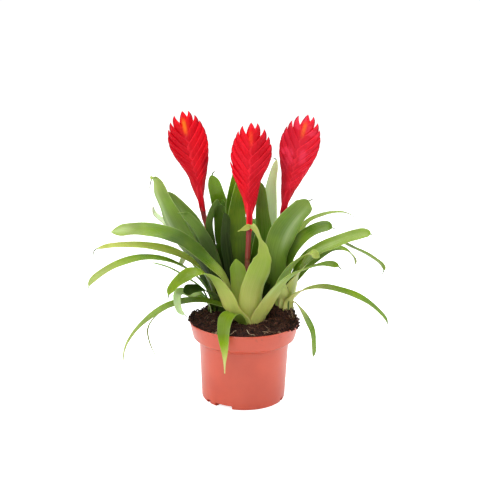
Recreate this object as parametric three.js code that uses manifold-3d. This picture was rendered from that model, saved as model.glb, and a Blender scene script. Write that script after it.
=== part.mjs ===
// A flaming sword bromeliad in a nursery pot: three rosettes of strap leaves, each with one red,
// flattened flower spike, growing from a heaped pot of bark and peat.
// Millimetres, +Z up, origin at the centre of the pot's underside, the plant's front towards -Y.
// Angles round a rosette or the pot are in degrees from +X, counted anticlockwise from above.
import * as THREE from 'three';
import { mergeVertices } from 'three/addons/utils/BufferGeometryUtils.js';
import Module from 'manifold-3d';

// ---- driving dimensions ----
const POT = {
  rimRadius: 61.5, rimRound: 0.4, height: 90, lipDepth: 2, wall: 1.6, floor: 2.6,
  baseRadius: 47.2, cornerRadius: 2.5, cornerTurns: [0, 45, 90], bodyTopRadius: 50.4,
  bandDepth: 18, bandLedge: 5, bandFlare: 4, sides: 40,
};
const DRAIN = {
  groups: 3, firstAngle: 242, width: 21, height: 4.4, smallWidth: 6, smallStep: 27, depth: 9,
};
// the soil's crown and the mound on its right, as [radius, height] pairs from the outside in
const SOIL = { edge: 88.5, crown: [[48, 92], [40, 93], [20, 94]], top: 94 };
const MOUND = {
  at: [38, 14], foot: 68.5, profile: [[21, 68.5], [20, 91.5], [17, 101], [12, 104.5]], top: 105,
};
const SOCKET = { depth: 9, clearance: 1.2, reach: 27, sides: 24 };
const GAP = 0.3; // clearance between pieces that rest on each other
// a leaf's shape along its length, in shares of that length, with its arcs in degrees
const LEAF = {
  thickness: 0.8, clasp: 45, cup: 24, stations: 8, collarFlare: 0.6,
  turnFrom: 0.05, turnTo: 0.5, rollFrom: 0.12, rollTo: 0.55, openBy: 0.4, flatBy: 0.35, narrowBy: 0.95,
  capFrom: 0.92, capTurn: 80, capStations: 2, capCup: 0.2, threadWidth: 1.3,
};
const STEM = { radius: 2.4, neckRadius: 3.6, swellFrom: 0.7, straight: 8, sides: 8, steps: 10 };
const BLOOM = {
  length: 88, bracts: 17, bractDepth: 12, bractThickness: 8, tipThickness: 1.2, pointDepth: 0.7,
  lowestRoot: 0.05, highestRoot: 0.66, lowestTip: 0.27, lowDepth: 0.5, fullDepthAt: 0.3,
  // half the bloom's width at shares of its height, from the neck to the topmost tip
  outline: [[0, 4.5], [0.1, 7], [0.21, 11], [0.3, 13.5], [0.4, 17], [0.5, 20], [0.62, 21.5], [0.77, 20.5],
    [0.9, 14], [1, 2.5]],
  coreTop: 0.8, coreRadius: 2, coreSteps: 4, bractStations: [0, 0.4, 0.8, 1], bractSwell: [0.15, 0.97],
  // a bract's middle line: share of its height, how far towards the outline, how much of its depth is
  // left inside the outline, and the most that it may be of its tip's own distance from the axis
  bractHandles: [[0, 0, 0, 0], [0.28, 0.45, 0, 0.6], [0.64, 1, 0.45, 0.95], [1, 1, 0, 1]],
};

const wasm = await Module();
wasm.setup();

// ---- materials ----
const paint = (color, roughness) => new THREE.MeshStandardMaterial({ color, roughness, metalness: 0 });
const TERRACOTTA = paint(0xe0705a, 0.45);
const PEAT = paint(0x2a1c1c, 0.95);
const RED = paint(0xe01a2c, 0.4);
const STALK_RED = paint(0xa83232, 0.5);
const GREENS = {
  bright: paint(0x8cac38, 0.4),
  mid: paint(0x628824, 0.4),
  dark: paint(0x3a5a14, 0.45),
  pale: paint(0xb9c878, 0.5),
};

// ---- helpers ----
const radians = THREE.MathUtils.degToRad;
const smoothstep = THREE.MathUtils.smoothstep;
const lerp = THREE.MathUtils.lerp;
const onPlan = (degrees) => new THREE.Vector3(Math.cos(radians(degrees)), Math.sin(radians(degrees)), 0);

/** Turns a closed geometry into a manifold-3d solid. */
function solid(geometry) {
  const bare = geometry.index ? geometry.toNonIndexed() : geometry.clone();
  bare.deleteAttribute('normal');
  bare.deleteAttribute('uv');
  const merged = mergeVertices(bare, 1e-4);
  return new wasm.Manifold(new wasm.Mesh({
    numProp: 3,
    vertProperties: merged.attributes.position.array,
    triVerts: new Uint32Array(merged.index.array),
  }));
}

/** Turns a manifold-3d solid back into a geometry. */
function geometryOf(body) {
  const mesh = body.getMesh();
  return new THREE.BufferGeometry()
    .setAttribute('position', new THREE.BufferAttribute(mesh.vertProperties, 3))
    .setIndex(new THREE.BufferAttribute(mesh.triVerts, 1));
}

/**
 * A closed body skinned over rings of points. Each ring runs along one face of the body and back along
 * the other, and both faces are split into triangles along the same diagonals, so a twisted blade keeps
 * its thickness. The first and last rings are closed by strips from one face to the other.
 */
function skin(rings) {
  const count = rings[0].length;
  const positions = rings.flat().flatMap((point) => point.toArray());
  const faces = [];
  for (let r = 0; r + 1 < rings.length; r++) {
    for (let i = 0; i < count; i++) {
      const a = r * count + i;
      const b = r * count + (i + 1) % count;
      if (i < count / 2) faces.push(a, b, b + count, a, b + count, a + count);
      else faces.push(a, b, a + count, b, b + count, a + count);
    }
  }
  const last = (rings.length - 1) * count;
  for (let i = 0; i + 1 < count / 2; i++) {
    const [a, b, c, d] = [i, i + 1, count - 2 - i, count - 1 - i];
    faces.push(a, c, b, a, d, c);
    faces.push(last + a, last + b, last + c, last + a, last + c, last + d);
  }
  return new THREE.BufferGeometry()
    .setAttribute('position', new THREE.Float32BufferAttribute(positions, 3))
    .setIndex(faces);
}

/** A lathe turned about +Z from [radius, height] pairs that start and end on the axis, bottom first. */
function turned(profile, sides) {
  const points = profile.map(([radius, height]) => new THREE.Vector2(radius, height));
  return new THREE.LatheGeometry(points, sides).rotateX(Math.PI / 2);
}

const group = new THREE.Group();

function add(name, geometry, material) {
  const mesh = new THREE.Mesh(geometry, material);
  mesh.name = name;
  group.add(mesh);
}

// ---- pot: thin walled, a wide band under the rim, a round bottom corner and drainage slots ----
const bandBottom = POT.height - POT.bandDepth;
const ledgeBottom = bandBottom - POT.bandLedge;
const bandFootRadius = POT.rimRadius - POT.bandFlare;

function potOutside(inset) {
  const corner = POT.cornerTurns.map((degrees) => [
    POT.baseRadius - inset - POT.cornerRadius * (1 - Math.sin(radians(degrees))),
    POT.cornerRadius * (1 - Math.cos(radians(degrees))),
  ]);
  return [
    ...corner,
    [POT.bodyTopRadius - inset, ledgeBottom],
    [bandFootRadius - inset, bandBottom],
    [POT.rimRadius - inset, POT.height - POT.lipDepth],
  ];
}

function pot() {
  const outside = potOutside(0);
  const inside = potOutside(POT.wall).map(([radius, z]) => [radius, z + POT.floor]);
  inside[inside.length - 1][1] = POT.height - POT.lipDepth;
  const rim = [
    [POT.rimRadius - POT.rimRound, POT.height],
    [POT.rimRadius - POT.wall, POT.height - POT.rimRound / 2],
  ];
  const profile = [[0, 0], ...outside, ...rim, ...inside.reverse(), [0, POT.floor]];
  let body = solid(turned(profile, POT.sides));
  for (let i = 0; i < DRAIN.groups; i++) {
    const middle = DRAIN.firstAngle + i * 360 / DRAIN.groups;
    const slots = [[middle, DRAIN.width], [middle - DRAIN.smallStep, DRAIN.smallWidth]];
    for (const [angle, width] of slots) {
      const slot = new THREE.BoxGeometry(DRAIN.depth * 2, width, DRAIN.height * 2);
      slot.translate(POT.baseRadius, 0, 0).rotateZ(radians(angle));
      body = body.subtract(solid(slot));
    }
  }
  return geometryOf(body);
}

// ---- the three rosettes: where each stands, how high the soil is there, how wide its foot is ----
const ROSETTES = {
  front: { at: new THREE.Vector3(5, -8, 93), radius: 21 },
  right: { at: new THREE.Vector3(42, 12, 104), radius: 12 },
  left: { at: new THREE.Vector3(-24, 26, 94), radius: 18 },
};
const socketFloor = (rosette) => rosette.at.z - SOCKET.depth;

// ---- soil: fills the pot, crowned, with a mound on the right and a plain socket for each rosette ----
function soil() {
  const inset = POT.wall + GAP;
  const bottom = POT.floor + GAP;
  const walls = potOutside(inset).map(([radius, z]) => [radius, z + bottom]);
  const edgeRadius = POT.rimRadius - inset - GAP;
  walls[walls.length - 1] = [edgeRadius, SOIL.edge];
  let body = solid(turned([[0, bottom], ...walls, ...SOIL.crown, [0, SOIL.top]], POT.sides));

  const mound = turned([[0, MOUND.foot], ...MOUND.profile, [0, MOUND.top]], SOCKET.sides);
  mound.translate(...MOUND.at, 0);
  const ceiling = MOUND.top + 1;
  const withinRim = turned([[0, bottom], ...walls, [edgeRadius, ceiling], [0, ceiling]], POT.sides);
  body = body.add(solid(mound).intersect(solid(withinRim)));

  for (const rosette of Object.values(ROSETTES)) {
    const radius = rosette.radius + SOCKET.clearance;
    const middle = socketFloor(rosette) + SOCKET.reach / 2;
    const socket = new THREE.CylinderGeometry(radius, radius, SOCKET.reach, SOCKET.sides);
    socket.rotateX(Math.PI / 2).translate(rosette.at.x, rosette.at.y, middle);
    body = body.subtract(solid(socket));
  }
  return geometryOf(body);
}

// ---- leaves ----
/**
 * A strap leaf. Its keel runs from the rosette's ring at `angle` through the points of `path`; the blade
 * is a shallow channel, curled round the rosette at its foot, opening to `width`, and closed by a round
 * end at the share `end` of its length, past which only the thin drip tip goes on. `face` is the plan
 * direction that the outer side turns to, and `roll` twists the blade about its keel.
 */
function leaf({ rosette, ring, angle, path, width, face = angle, roll = 0, clasp = LEAF.clasp, end = 0.9,
  across = 3, lift = 7, narrowFrom = 0.6, narrowTo = 0.75 }) {
  const foot = onPlan(angle).multiplyScalar(ring).add(rosette.at).setZ(socketFloor(rosette) + GAP);
  const collar = onPlan(angle).multiplyScalar(ring + LEAF.collarFlare).add(rosette.at);
  collar.z += lift;
  const points = [foot, collar, ...path.map((point) => new THREE.Vector3(...point))];
  const keel = new THREE.CatmullRomCurve3(points, false, 'centripetal');
  const footWidth = 2 * ring * radians(clasp);

  // pairs of a share of the length and the part of the full width that the round end leaves there
  const stations = [];
  for (let i = 0; i < LEAF.stations; i++) stations.push([end * LEAF.capFrom * i / LEAF.stations, 1]);
  for (let i = 0; i <= LEAF.capStations; i++) {
    const turn = radians(LEAF.capTurn * i / LEAF.capStations);
    stations.push([end * lerp(LEAF.capFrom, 1, Math.sin(turn)), Math.cos(turn)]);
  }
  stations.push([lerp(end, 1, 0.5), 0]);
  if (end < 1) stations.push([1, 0]);

  const rings = stations.map(([share, cap]) => {
    const at = keel.getPointAt(share);
    const along = keel.getTangentAt(share);
    const facing = onPlan(lerp(angle, face, smoothstep(share, LEAF.turnFrom, LEAF.turnTo)));
    const side = new THREE.Vector3().crossVectors(facing, new THREE.Vector3(0, 0, 1));
    side.addScaledVector(along, -side.dot(along)).normalize();
    side.applyAxisAngle(along, radians(roll) * smoothstep(share, LEAF.rollFrom, LEAF.rollTo));
    const inward = new THREE.Vector3().crossVectors(side, along);
    const taper = lerp(1, narrowTo, smoothstep(share, narrowFrom, LEAF.narrowBy));
    const open = lerp(footWidth, width, smoothstep(share, 0, LEAF.openBy));
    const blade = Math.max(open * taper * cap, LEAF.threadWidth);
    const curl = lerp(clasp, LEAF.cup, smoothstep(share, 0, LEAF.flatBy));
    const half = radians(curl) * Math.max(cap, LEAF.capCup);
    const bend = blade / (2 * half);
    const section = [];
    for (const skinOffset of [LEAF.thickness / 2, -LEAF.thickness / 2]) {
      for (let i = 0; i <= across; i++) {
        const step = skinOffset > 0 ? i : across - i;
        const turn = half * (1 - 2 * step / across);
        section.push(at.clone()
          .addScaledVector(side, (bend + skinOffset) * Math.sin(turn))
          .addScaledVector(inward, bend - (bend + skinOffset) * Math.cos(turn)));
      }
    }
    return section;
  });
  return skin(rings);
}

const { front, right, left } = ROSETTES;
const LEAVES = {
  // the left rosette, fanned out to the left and behind
  leaf_left_wide: { rosette: left, ring: 9, angle: 181, clasp: 31, face: 235, width: 28, end: 0.93,
    color: 'mid', narrowFrom: 0.5, narrowTo: 0.42,
    path: [[-40, 25, 130], [-52, 26, 150], [-63, 28, 170], [-73, 32, 190], [-84, 36, 208],
      [-94, 40, 224], [-101, 42, 238], [-103, 41, 244], [-107, 38, 240], [-109, 36, 229]] },
  leaf_left_wide_back: { rosette: left, ring: 9, angle: 117, clasp: 22, face: 250, width: 24, end: 1,
    color: 'mid', narrowFrom: 0.5, narrowTo: 0.5,
    path: [[-40, 46, 150], [-54, 49, 178], [-67, 52, 197], [-78, 54, 210], [-89, 57, 219]] },
  leaf_left_pale_end: { rosette: left, ring: 11.5, angle: 151, clasp: 19, face: 200, width: 16, end: 1,
    color: 'pale', roll: -30,
    path: [[-53, 51, 146], [-68, 54, 168], [-84, 54, 186], [-97, 52, 198], [-103, 47, 207],
      [-106, 40, 206], [-107, 37, 196]] },
  leaf_left_bent_over: { rosette: left, ring: 9, angle: 254, clasp: 31, face: 255, width: 22, end: 1,
    color: 'dark',
    path: [[-30, 9, 135], [-39, 9, 166], [-53, 12, 191], [-68, 14, 206], [-75, 11, 209]] },
  leaf_left_thin_arch: { rosette: left, ring: 11.5, angle: 215, clasp: 22, width: 15, end: 0.93,
    color: 'bright', roll: -40, across: 2, narrowFrom: 0.35, narrowTo: 0.4,
    path: [[-40, 6, 131], [-56, 2, 153], [-81, -2, 168], [-109, -6, 175], [-137, -8, 176],
      [-155, -10, 174], [-165, -10, 170], [-167, -10, 160]] },
  leaf_left_low_arch: { rosette: left, ring: 14, angle: 215, clasp: 14, width: 14, end: 0.97,
    color: 'mid', roll: -14, across: 2,
    path: [[-45, 4, 127], [-62, -4, 147], [-87, -10, 160], [-112, -14, 163], [-139, -16, 156],
      [-161, -18, 143], [-170, -18, 134], [-172, -18, 125]] },
  leaf_left_under: { rosette: left, ring: 17, angle: 187, clasp: 6, width: 8, end: 1, color: 'pale',
    across: 2,
    path: [[-50, 14, 122], [-68, 11, 136], [-86, 8, 147], [-104, 6, 153]] },
  leaf_left_dark_short: { rosette: left, ring: 14, angle: 262, clasp: 19, width: 18, end: 1,
    color: 'dark', roll: -30,
    path: [[-33, -3, 116], [-46, -11, 127], [-59, -17, 129], [-67, -20, 127]] },
  leaf_left_small_curl: { rosette: left, ring: 17, angle: 209, clasp: 11, width: 10, end: 0.92,
    color: 'pale', roll: -40, across: 2, lift: 4,
    path: [[-50, 9, 117], [-62, 8, 116], [-70, 2, 121], [-74, -8, 121], [-74, -15, 114],
      [-71, -20, 106], [-65, -22, 101], [-59, -22, 96]] },
  leaf_left_tall: { rosette: left, ring: 7, angle: 70, clasp: 36, face: 90, width: 19, end: 0.93,
    color: 'mid',
    path: [[-18, 38, 149], [-24, 36, 185], [-30, 32, 218], [-36, 28, 240], [-38, 26, 250],
      [-35, 24, 254], [-29, 22, 254]] },
  leaf_left_curl_over: { rosette: left, ring: 5.5, angle: 200, clasp: 40, face: 270, width: 9, end: 1,
    color: 'dark', across: 2,
    path: [[-34, 25, 139], [-38, 25, 171], [-41, 24, 195], [-36, 23, 213], [-29, 21, 221],
      [-23, 18, 216]] },
  leaf_left_hanging: { rosette: left, ring: 17, angle: 163, clasp: 12, width: 5, end: 0.94,
    color: 'mid', across: 2, lift: 4, narrowFrom: 0.4, narrowTo: 0.35,
    path: [[-48, 29, 107], [-64, 24, 106], [-84, 15, 99], [-101, 8, 89], [-109, 5, 76], [-107, 4, 59],
      [-99, 4, 40]] },
  leaf_left_back_low: { rosette: left, ring: 14, angle: 140, clasp: 25, width: 15, end: 0.96,
    color: 'mid',
    path: [[-48, 52, 124], [-62, 78, 137], [-74, 102, 134], [-80, 116, 118]] },
  leaf_left_back: { rosette: left, ring: 11.5, angle: 103, clasp: 12, width: 17, end: 0.96,
    color: 'dark',
    path: [[-43, 64, 138], [-60, 92, 162], [-75, 122, 160], [-82, 140, 140]] },
  leaf_left_back_middle: { rosette: left, ring: 11.5, angle: 70, clasp: 17, width: 14, end: 0.96,
    color: 'mid',
    path: [[-18, 60, 136], [-21, 90, 162], [-27, 118, 163], [-33, 138, 146]] },
  // the front rosette, whose pale sheaths make the V in the middle
  leaf_front_left: { rosette: front, ring: 17, angle: 225, clasp: 46, face: 248, width: 26, end: 0.95,
    color: 'bright', roll: -30, narrowFrom: 0.45, narrowTo: 0.5, lift: 2,
    path: [[-19, -24, 114], [-31, -28, 139], [-45, -32, 152], [-61, -36, 153], [-74, -38, 144],
      [-81, -40, 133], [-82, -40, 121]] },
  leaf_front_horizontal: { rosette: front, ring: 13.5, angle: 188, clasp: 37, width: 18, end: 0.99,
    color: 'mid', roll: -45, narrowFrom: 0.7, narrowTo: 0.85,
    path: [[-14, -13, 119], [-26, -13, 147], [-46, -10, 169], [-66, -6, 182], [-88, -2, 190],
      [-116, 0, 192], [-146, 2, 189]] },
  leaf_front_hanging: { rosette: front, ring: 20, angle: 240, clasp: 20, width: 17, end: 0.99,
    color: 'bright', lift: 3, narrowFrom: 0.42, narrowTo: 0.12,
    path: [[-12, -37, 108], [-19, -51, 107], [-21, -64, 96], [-20, -70, 78], [-20, -70, 65],
      [-20, -68, 51]] },
  leaf_front_long_low: { rosette: front, ring: 20, angle: 174, clasp: 9, width: 13, end: 0.98,
    color: 'mid', roll: -22, narrowFrom: 0.5, narrowTo: 0.4, lift: 10,
    path: [[-30, -4, 109], [-43, -7, 113], [-63, -8, 113], [-85, -9, 107], [-105, -10, 94],
      [-122, -10, 77], [-133, -10, 58], [-137, -10, 34]] },
  leaf_front_inner: { rosette: front, ring: 7, angle: 245, clasp: 45, face: 260, width: 16, end: 0.97,
    color: 'bright',
    path: [[-2, -15, 116], [-5, -14, 133], [-8, -13, 147], [-12, -12, 159]] },
  leaf_front_main: { rosette: front, ring: 13.5, angle: 288, clasp: 47, face: 285, width: 27, end: 0.99,
    color: 'bright', narrowFrom: 0.5, narrowTo: 0.28,
    path: [[6, -24, 112], [8, -25, 129], [14, -28, 148], [19, -29, 164], [18, -28, 177], [14, -27, 188],
      [9, -26, 198], [5, -25, 203], [-1, -26, 202], [-9, -27, 197]] },
  leaf_front_right: { rosette: front, ring: 17, angle: 318, clasp: 45, face: 292, width: 22, end: 0.95,
    color: 'bright', roll: 40, narrowFrom: 0.4, narrowTo: 0.35, lift: 3,
    path: [[24, -20, 108], [31, -22, 122], [41, -25, 138], [55, -27, 151], [73, -27, 159],
      [89, -26, 162], [99, -26, 161], [106, -26, 155]] },
  leaf_front_back_light: { rosette: front, ring: 13.5, angle: 110, clasp: 29, face: 100, width: 20,
    end: 1, color: 'mid',
    path: [[-7, 14, 153], [-12, 19, 189], [-13, 22, 222], [-8, 26, 250], [-1, 28, 275]] },
  leaf_front_back_dark: { rosette: front, ring: 7, angle: 122, clasp: 42, face: 100, width: 21, end: 1,
    color: 'mid',
    path: [[-6, 3, 152], [-8, 7, 180], [-10, 11, 207], [-6, 14, 235], [1, 16, 257]] },
  leaf_front_back_right: { rosette: front, ring: 13.5, angle: 38, clasp: 34, face: 75, width: 22,
    end: 1, color: 'dark', narrowFrom: 0.5, narrowTo: 0.55,
    path: [[18, 16, 150], [21, 18, 185], [19, 20, 208], [17, 22, 229], [15, 23, 243]] },
  leaf_front_inner_left: { rosette: front, ring: 10, angle: 160, clasp: 36, face: 200, width: 15,
    end: 0.97, color: 'dark',
    path: [[-14, -3, 130], [-20, -1, 160], [-23, 0, 187], [-22, -1, 209], [-26, -2, 215]] },
  leaf_front_back: { rosette: front, ring: 17, angle: 85, clasp: 28, width: 17, end: 0.96, color: 'dark',
    path: [[6, 26, 146], [8, 52, 178], [8, 85, 188], [6, 112, 174]] },
  // the right rosette, on its mound
  leaf_right_glossy: { rosette: right, ring: 7, angle: 220, clasp: 35, face: 285, width: 32, end: 0.95,
    color: 'mid',
    path: [[38, -5, 142], [38, -6, 160], [39, -6, 177], [43, -4, 193], [54, -2, 209], [64, 0, 220],
      [69, 2, 226], [76, 3, 229]] },
  leaf_right_broad: { rosette: right, ring: 5, angle: -15, clasp: 50, width: 18, end: 0.95,
    color: 'dark', roll: 45,
    path: [[47, 11, 136], [52, 11, 161], [63, 11, 180], [77, 11, 192], [91, 11, 197], [98, 11, 194],
      [103, 11, 195]] },
  leaf_right_level: { rosette: right, ring: 9, angle: -24, clasp: 22, width: 19, end: 0.98,
    color: 'mid', roll: 40, narrowFrom: 0.75, narrowTo: 0.85,
    path: [[55, 5, 130], [65, 1, 154], [79, -2, 172], [100, -4, 182], [121, -4, 189], [134, -4, 192],
      [140, -4, 190]] },
  leaf_right_far_thin: { rosette: right, ring: 11, angle: 42, clasp: 20, width: 8, end: 0.96,
    color: 'mid', across: 2,
    path: [[57, 26, 135], [74, 22, 163], [104, 18, 176], [123, 15, 170], [142, 12, 161], [156, 12, 149],
      [154, 12, 139]] },
  leaf_right_hook: { rosette: right, ring: 9, angle: 28, clasp: 22, width: 9, end: 0.97, color: 'mid',
    across: 2, roll: 15,
    path: [[57, 20, 130], [76, 14, 156], [97, 8, 171], [113, 4, 170], [122, 3, 160], [122, 3, 151]] },
  leaf_right_pale_curl: { rosette: right, ring: 9, angle: 274, clasp: 17, face: 300, width: 17, end: 1,
    color: 'dark', roll: 30,
    path: [[46, -12, 138], [50, -13, 158], [55, -14, 173], [63, -15, 181], [72, -15, 183],
      [80, -16, 175]] },
  leaf_right_long_low: { rosette: right, ring: 11, angle: 320, clasp: 20, face: 350, width: 14,
    end: 0.98, color: 'bright', across: 2, roll: 12,
    path: [[54, 2, 115], [65, 1, 124], [86, -1, 129], [110, -3, 125], [131, -4, 117], [146, -6, 107],
      [159, -6, 93], [161, -6, 85]] },
  leaf_right_hanging: { rosette: right, ring: 11, angle: 0, clasp: 15, width: 11, end: 0.97,
    color: 'mid', across: 2, lift: 2, roll: 35,
    path: [[57, 12, 107], [64, 9, 99], [71, 6, 88], [77, 5, 75], [79, 4, 59], [80, 4, 43]] },
  leaf_right_back_arch: { rosette: right, ring: 7, angle: 75, clasp: 36, face: 30, width: 10, end: 0.94,
    color: 'mid', across: 2,
    path: [[46, 27, 134], [54, 34, 162], [69, 36, 194], [87, 35, 204], [107, 33, 208], [120, 31, 205],
      [127, 30, 197]] },
  leaf_right_back_hidden: { rosette: right, ring: 9, angle: 108, clasp: 32, face: 60, width: 14,
    end: 0.95, color: 'dark',
    path: [[36, 34, 135], [43, 42, 165], [54, 45, 191], [66, 44, 207], [73, 42, 212], [77, 42, 208]] },
  leaf_right_upright_pale: { rosette: right, ring: 5, angle: 130, clasp: 45, face: 110, width: 17,
    end: 0.97, color: 'pale', narrowFrom: 0.55, narrowTo: 0.4,
    path: [[36, 20, 136], [30, 24, 158], [27, 27, 183], [26, 29, 206], [27, 31, 228], [29, 32, 246],
      [32, 33, 260], [33, 32, 267], [29, 30, 269]] },
  leaf_right_back: { rosette: right, ring: 11, angle: 82, clasp: 15, width: 15, end: 0.96, color: 'dark',
    path: [[48, 46, 138], [54, 75, 161], [62, 105, 160], [68, 122, 144]] },
  leaf_right_back_inner: { rosette: right, ring: 11, angle: 125, clasp: 20, width: 15, end: 0.96,
    color: 'mid',
    path: [[31, 48, 140], [32, 80, 170], [34, 112, 172], [36, 134, 156]] },
};
for (const [name, { color, ...shape }] of Object.entries(LEAVES)) add(name, leaf(shape), GREENS[color]);

// ---- stems and blooms ----
const STEMS = {
  left: { rosette: left,
    path: [[-29, 31, 141], [-38, 34, 170], [-48, 36, 203], [-54, 32, 240], [-63, 26, 280],
      [-71, 20, 321]] },
  middle: { rosette: front,
    path: [[2, -7, 126], [3, -8, 172], [4, -10, 210], [3, -12, 240], [5, -14, 283], [3, -16, 313]] },
  right: { rosette: right,
    path: [[38, 14, 144], [37, 15, 179], [42, 16, 213], [47, 15, 236], [56, 12, 278], [66, 10, 320]] },
};

/** The centre line of a flower stalk, from its foot in the socket to the tip of its bloom. */
function stalkLine({ rosette, path }) {
  const foot = rosette.at.clone().setZ(socketFloor(rosette) + GAP);
  const collar = rosette.at.clone().setZ(rosette.at.z + STEM.straight);
  const points = [foot, collar, ...path.map((point) => new THREE.Vector3(...point))];
  return new THREE.CatmullRomCurve3(points, false, 'centripetal');
}

/** The flat bloom's own axes at a share of the stalk: along it, across it in its plane, and out of it. */
function bloomFrame(line, share) {
  const along = line.getTangentAt(share);
  const across = new THREE.Vector3(1, 0, 0).addScaledVector(along, -along.x).normalize();
  const out = new THREE.Vector3().crossVectors(across, along);
  return { at: line.getPointAt(share), along, across, out };
}

function roundRing({ at, across, out }, radius) {
  return Array.from({ length: STEM.sides }, (_, i) => {
    const turn = 2 * Math.PI * i / STEM.sides;
    return at.clone()
      .addScaledVector(across, radius * Math.cos(turn))
      .addScaledVector(out, -radius * Math.sin(turn));
  });
}

function stem(line, neck) {
  const rings = [];
  for (let i = 0; i <= STEM.steps; i++) {
    const share = neck * i / STEM.steps;
    const swell = smoothstep(i / STEM.steps, STEM.swellFrom, 1);
    rings.push(roundRing(bloomFrame(line, share), lerp(STEM.radius, STEM.neckRadius, swell)));
  }
  return skin(rings);
}

/** Half the bloom's width at a share of its height. */
function outlineAt(share) {
  const next = BLOOM.outline.findIndex(([height]) => height >= share);
  const [h1, w1] = BLOOM.outline[Math.max(next, 1)];
  const [h0, w0] = BLOOM.outline[Math.max(next, 1) - 1];
  return lerp(w0, w1, (share - h0) / (h1 - h0));
}

/**
 * One boat-shaped bract. Its middle line leaves the axis at the share `root` of the bloom's height and
 * curves up to its point on the bloom's outline; its section is a lozenge, deep in the bloom's plane,
 * whose outer corner follows the outline.
 */
function bract(line, shareAt, root, tip, side) {
  const frame = bloomFrame(line, shareAt(root));
  const depth = BLOOM.bractDepth * lerp(BLOOM.lowDepth, 1, smoothstep(root, 0, BLOOM.fullDepthAt));
  const middle = new THREE.CubicBezierCurve3(...BLOOM.bractHandles.map(([up, reach, inside, limit]) => {
    const within = outlineAt(lerp(root, tip, up)) * reach - depth * inside;
    const sideways = Math.min(within, outlineAt(tip) * limit);
    return frame.at.clone()
      .addScaledVector(frame.across, side * sideways)
      .addScaledVector(frame.along, (tip - root) * BLOOM.length * up);
  }));
  const rings = BLOOM.bractStations.map((t) => {
    const at = middle.getPoint(t);
    const inPlane = new THREE.Vector3().crossVectors(frame.out, middle.getTangent(t));
    const deep = Math.max(depth * Math.sin(Math.PI * lerp(...BLOOM.bractSwell, t)), BLOOM.pointDepth) / 2;
    const thick = lerp(BLOOM.bractThickness, BLOOM.tipThickness, t * t) / 2;
    return [[inPlane, deep], [frame.out, thick], [inPlane, -deep], [frame.out, -thick]]
      .map(([direction, reach]) => at.clone().addScaledVector(direction, reach));
  });
  return solid(skin(rings));
}

function bloom(line, neck) {
  const total = line.getLength();
  const shareAt = (height) => neck + (GAP + BLOOM.length * height) / total;
  const core = [];
  for (let i = 0; i <= BLOOM.coreSteps; i++) {
    const t = i / BLOOM.coreSteps;
    const frame = bloomFrame(line, shareAt(BLOOM.coreTop * t));
    core.push(roundRing(frame, lerp(STEM.neckRadius, BLOOM.coreRadius, t)));
  }
  let body = solid(skin(core));
  for (let i = 0; i < BLOOM.bracts; i++) {
    const t = i / (BLOOM.bracts - 1);
    const root = lerp(BLOOM.lowestRoot, BLOOM.highestRoot, t);
    body = body.add(bract(line, shareAt, root, lerp(BLOOM.lowestTip, 1, t), i % 2 ? 1 : -1));
  }
  return geometryOf(body);
}

for (const [name, shape] of Object.entries(STEMS)) {
  const line = stalkLine(shape);
  const neck = 1 - (BLOOM.length + 2 * GAP) / line.getLength();
  add(`stem_${name}`, stem(line, neck), STALK_RED);
  add(`bloom_${name}`, bloom(line, neck), RED);
}

add('pot', pot(), TERRACOTTA);
add('soil', soil(), PEAT);

export default group;
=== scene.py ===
# %% [markdown]
# # A flaming sword bromeliad in its pot
# A flaming sword is a house plant from the pineapple family. Three rosettes of strap leaves share
# one plastic nursery pot, and each rosette holds up one flat red "sword" of folded bracts.
# The solid model of the plant is already made, with its real sizes. This notebook
# dresses it: every leaf, stalk, sword, the soil and the pot get a finer surface, and a finish
# that is worked out by nodes, so that nothing here depends on a picture file.
# First the solid model is loaded as a fixed frame. Everything else is placed against it.

# %% Load the fixed frame
import math

import bpy
import numpy as np
from mathutils import Matrix, Vector


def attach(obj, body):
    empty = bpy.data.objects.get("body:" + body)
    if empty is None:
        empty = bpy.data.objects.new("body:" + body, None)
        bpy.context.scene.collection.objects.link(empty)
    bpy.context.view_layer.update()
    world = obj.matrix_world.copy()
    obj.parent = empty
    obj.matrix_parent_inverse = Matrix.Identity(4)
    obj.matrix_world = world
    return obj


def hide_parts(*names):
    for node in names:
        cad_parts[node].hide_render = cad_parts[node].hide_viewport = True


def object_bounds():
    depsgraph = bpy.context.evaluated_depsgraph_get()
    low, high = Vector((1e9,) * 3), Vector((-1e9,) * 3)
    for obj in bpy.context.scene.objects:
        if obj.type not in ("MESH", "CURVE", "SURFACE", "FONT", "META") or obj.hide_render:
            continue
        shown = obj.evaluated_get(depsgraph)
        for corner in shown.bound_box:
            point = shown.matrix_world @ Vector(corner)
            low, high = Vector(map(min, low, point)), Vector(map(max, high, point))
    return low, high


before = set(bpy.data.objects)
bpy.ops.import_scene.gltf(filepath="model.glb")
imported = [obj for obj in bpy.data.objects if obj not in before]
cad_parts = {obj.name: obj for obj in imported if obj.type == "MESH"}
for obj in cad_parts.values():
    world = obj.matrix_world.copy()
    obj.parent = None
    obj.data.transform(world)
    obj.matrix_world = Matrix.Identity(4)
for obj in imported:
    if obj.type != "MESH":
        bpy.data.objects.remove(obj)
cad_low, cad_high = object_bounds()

scene = bpy.context.scene
size = [round((high - low) * 1000, 1) for low, high in zip(cad_low, cad_high)]
print(len(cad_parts), "solids in the frame, together", size, "mm")

# %% [markdown]
# ## The camera
# A plant portrait like this is taken from a little above the rim of the pot, with a lens that
# sees about thirty degrees, so that the pot shows a thin ellipse of soil and the swords stay
# upright. The camera is turned with two plain rotations: down by thirteen degrees, and a small
# roll, as a tripod that isn't quite level gives.

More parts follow.
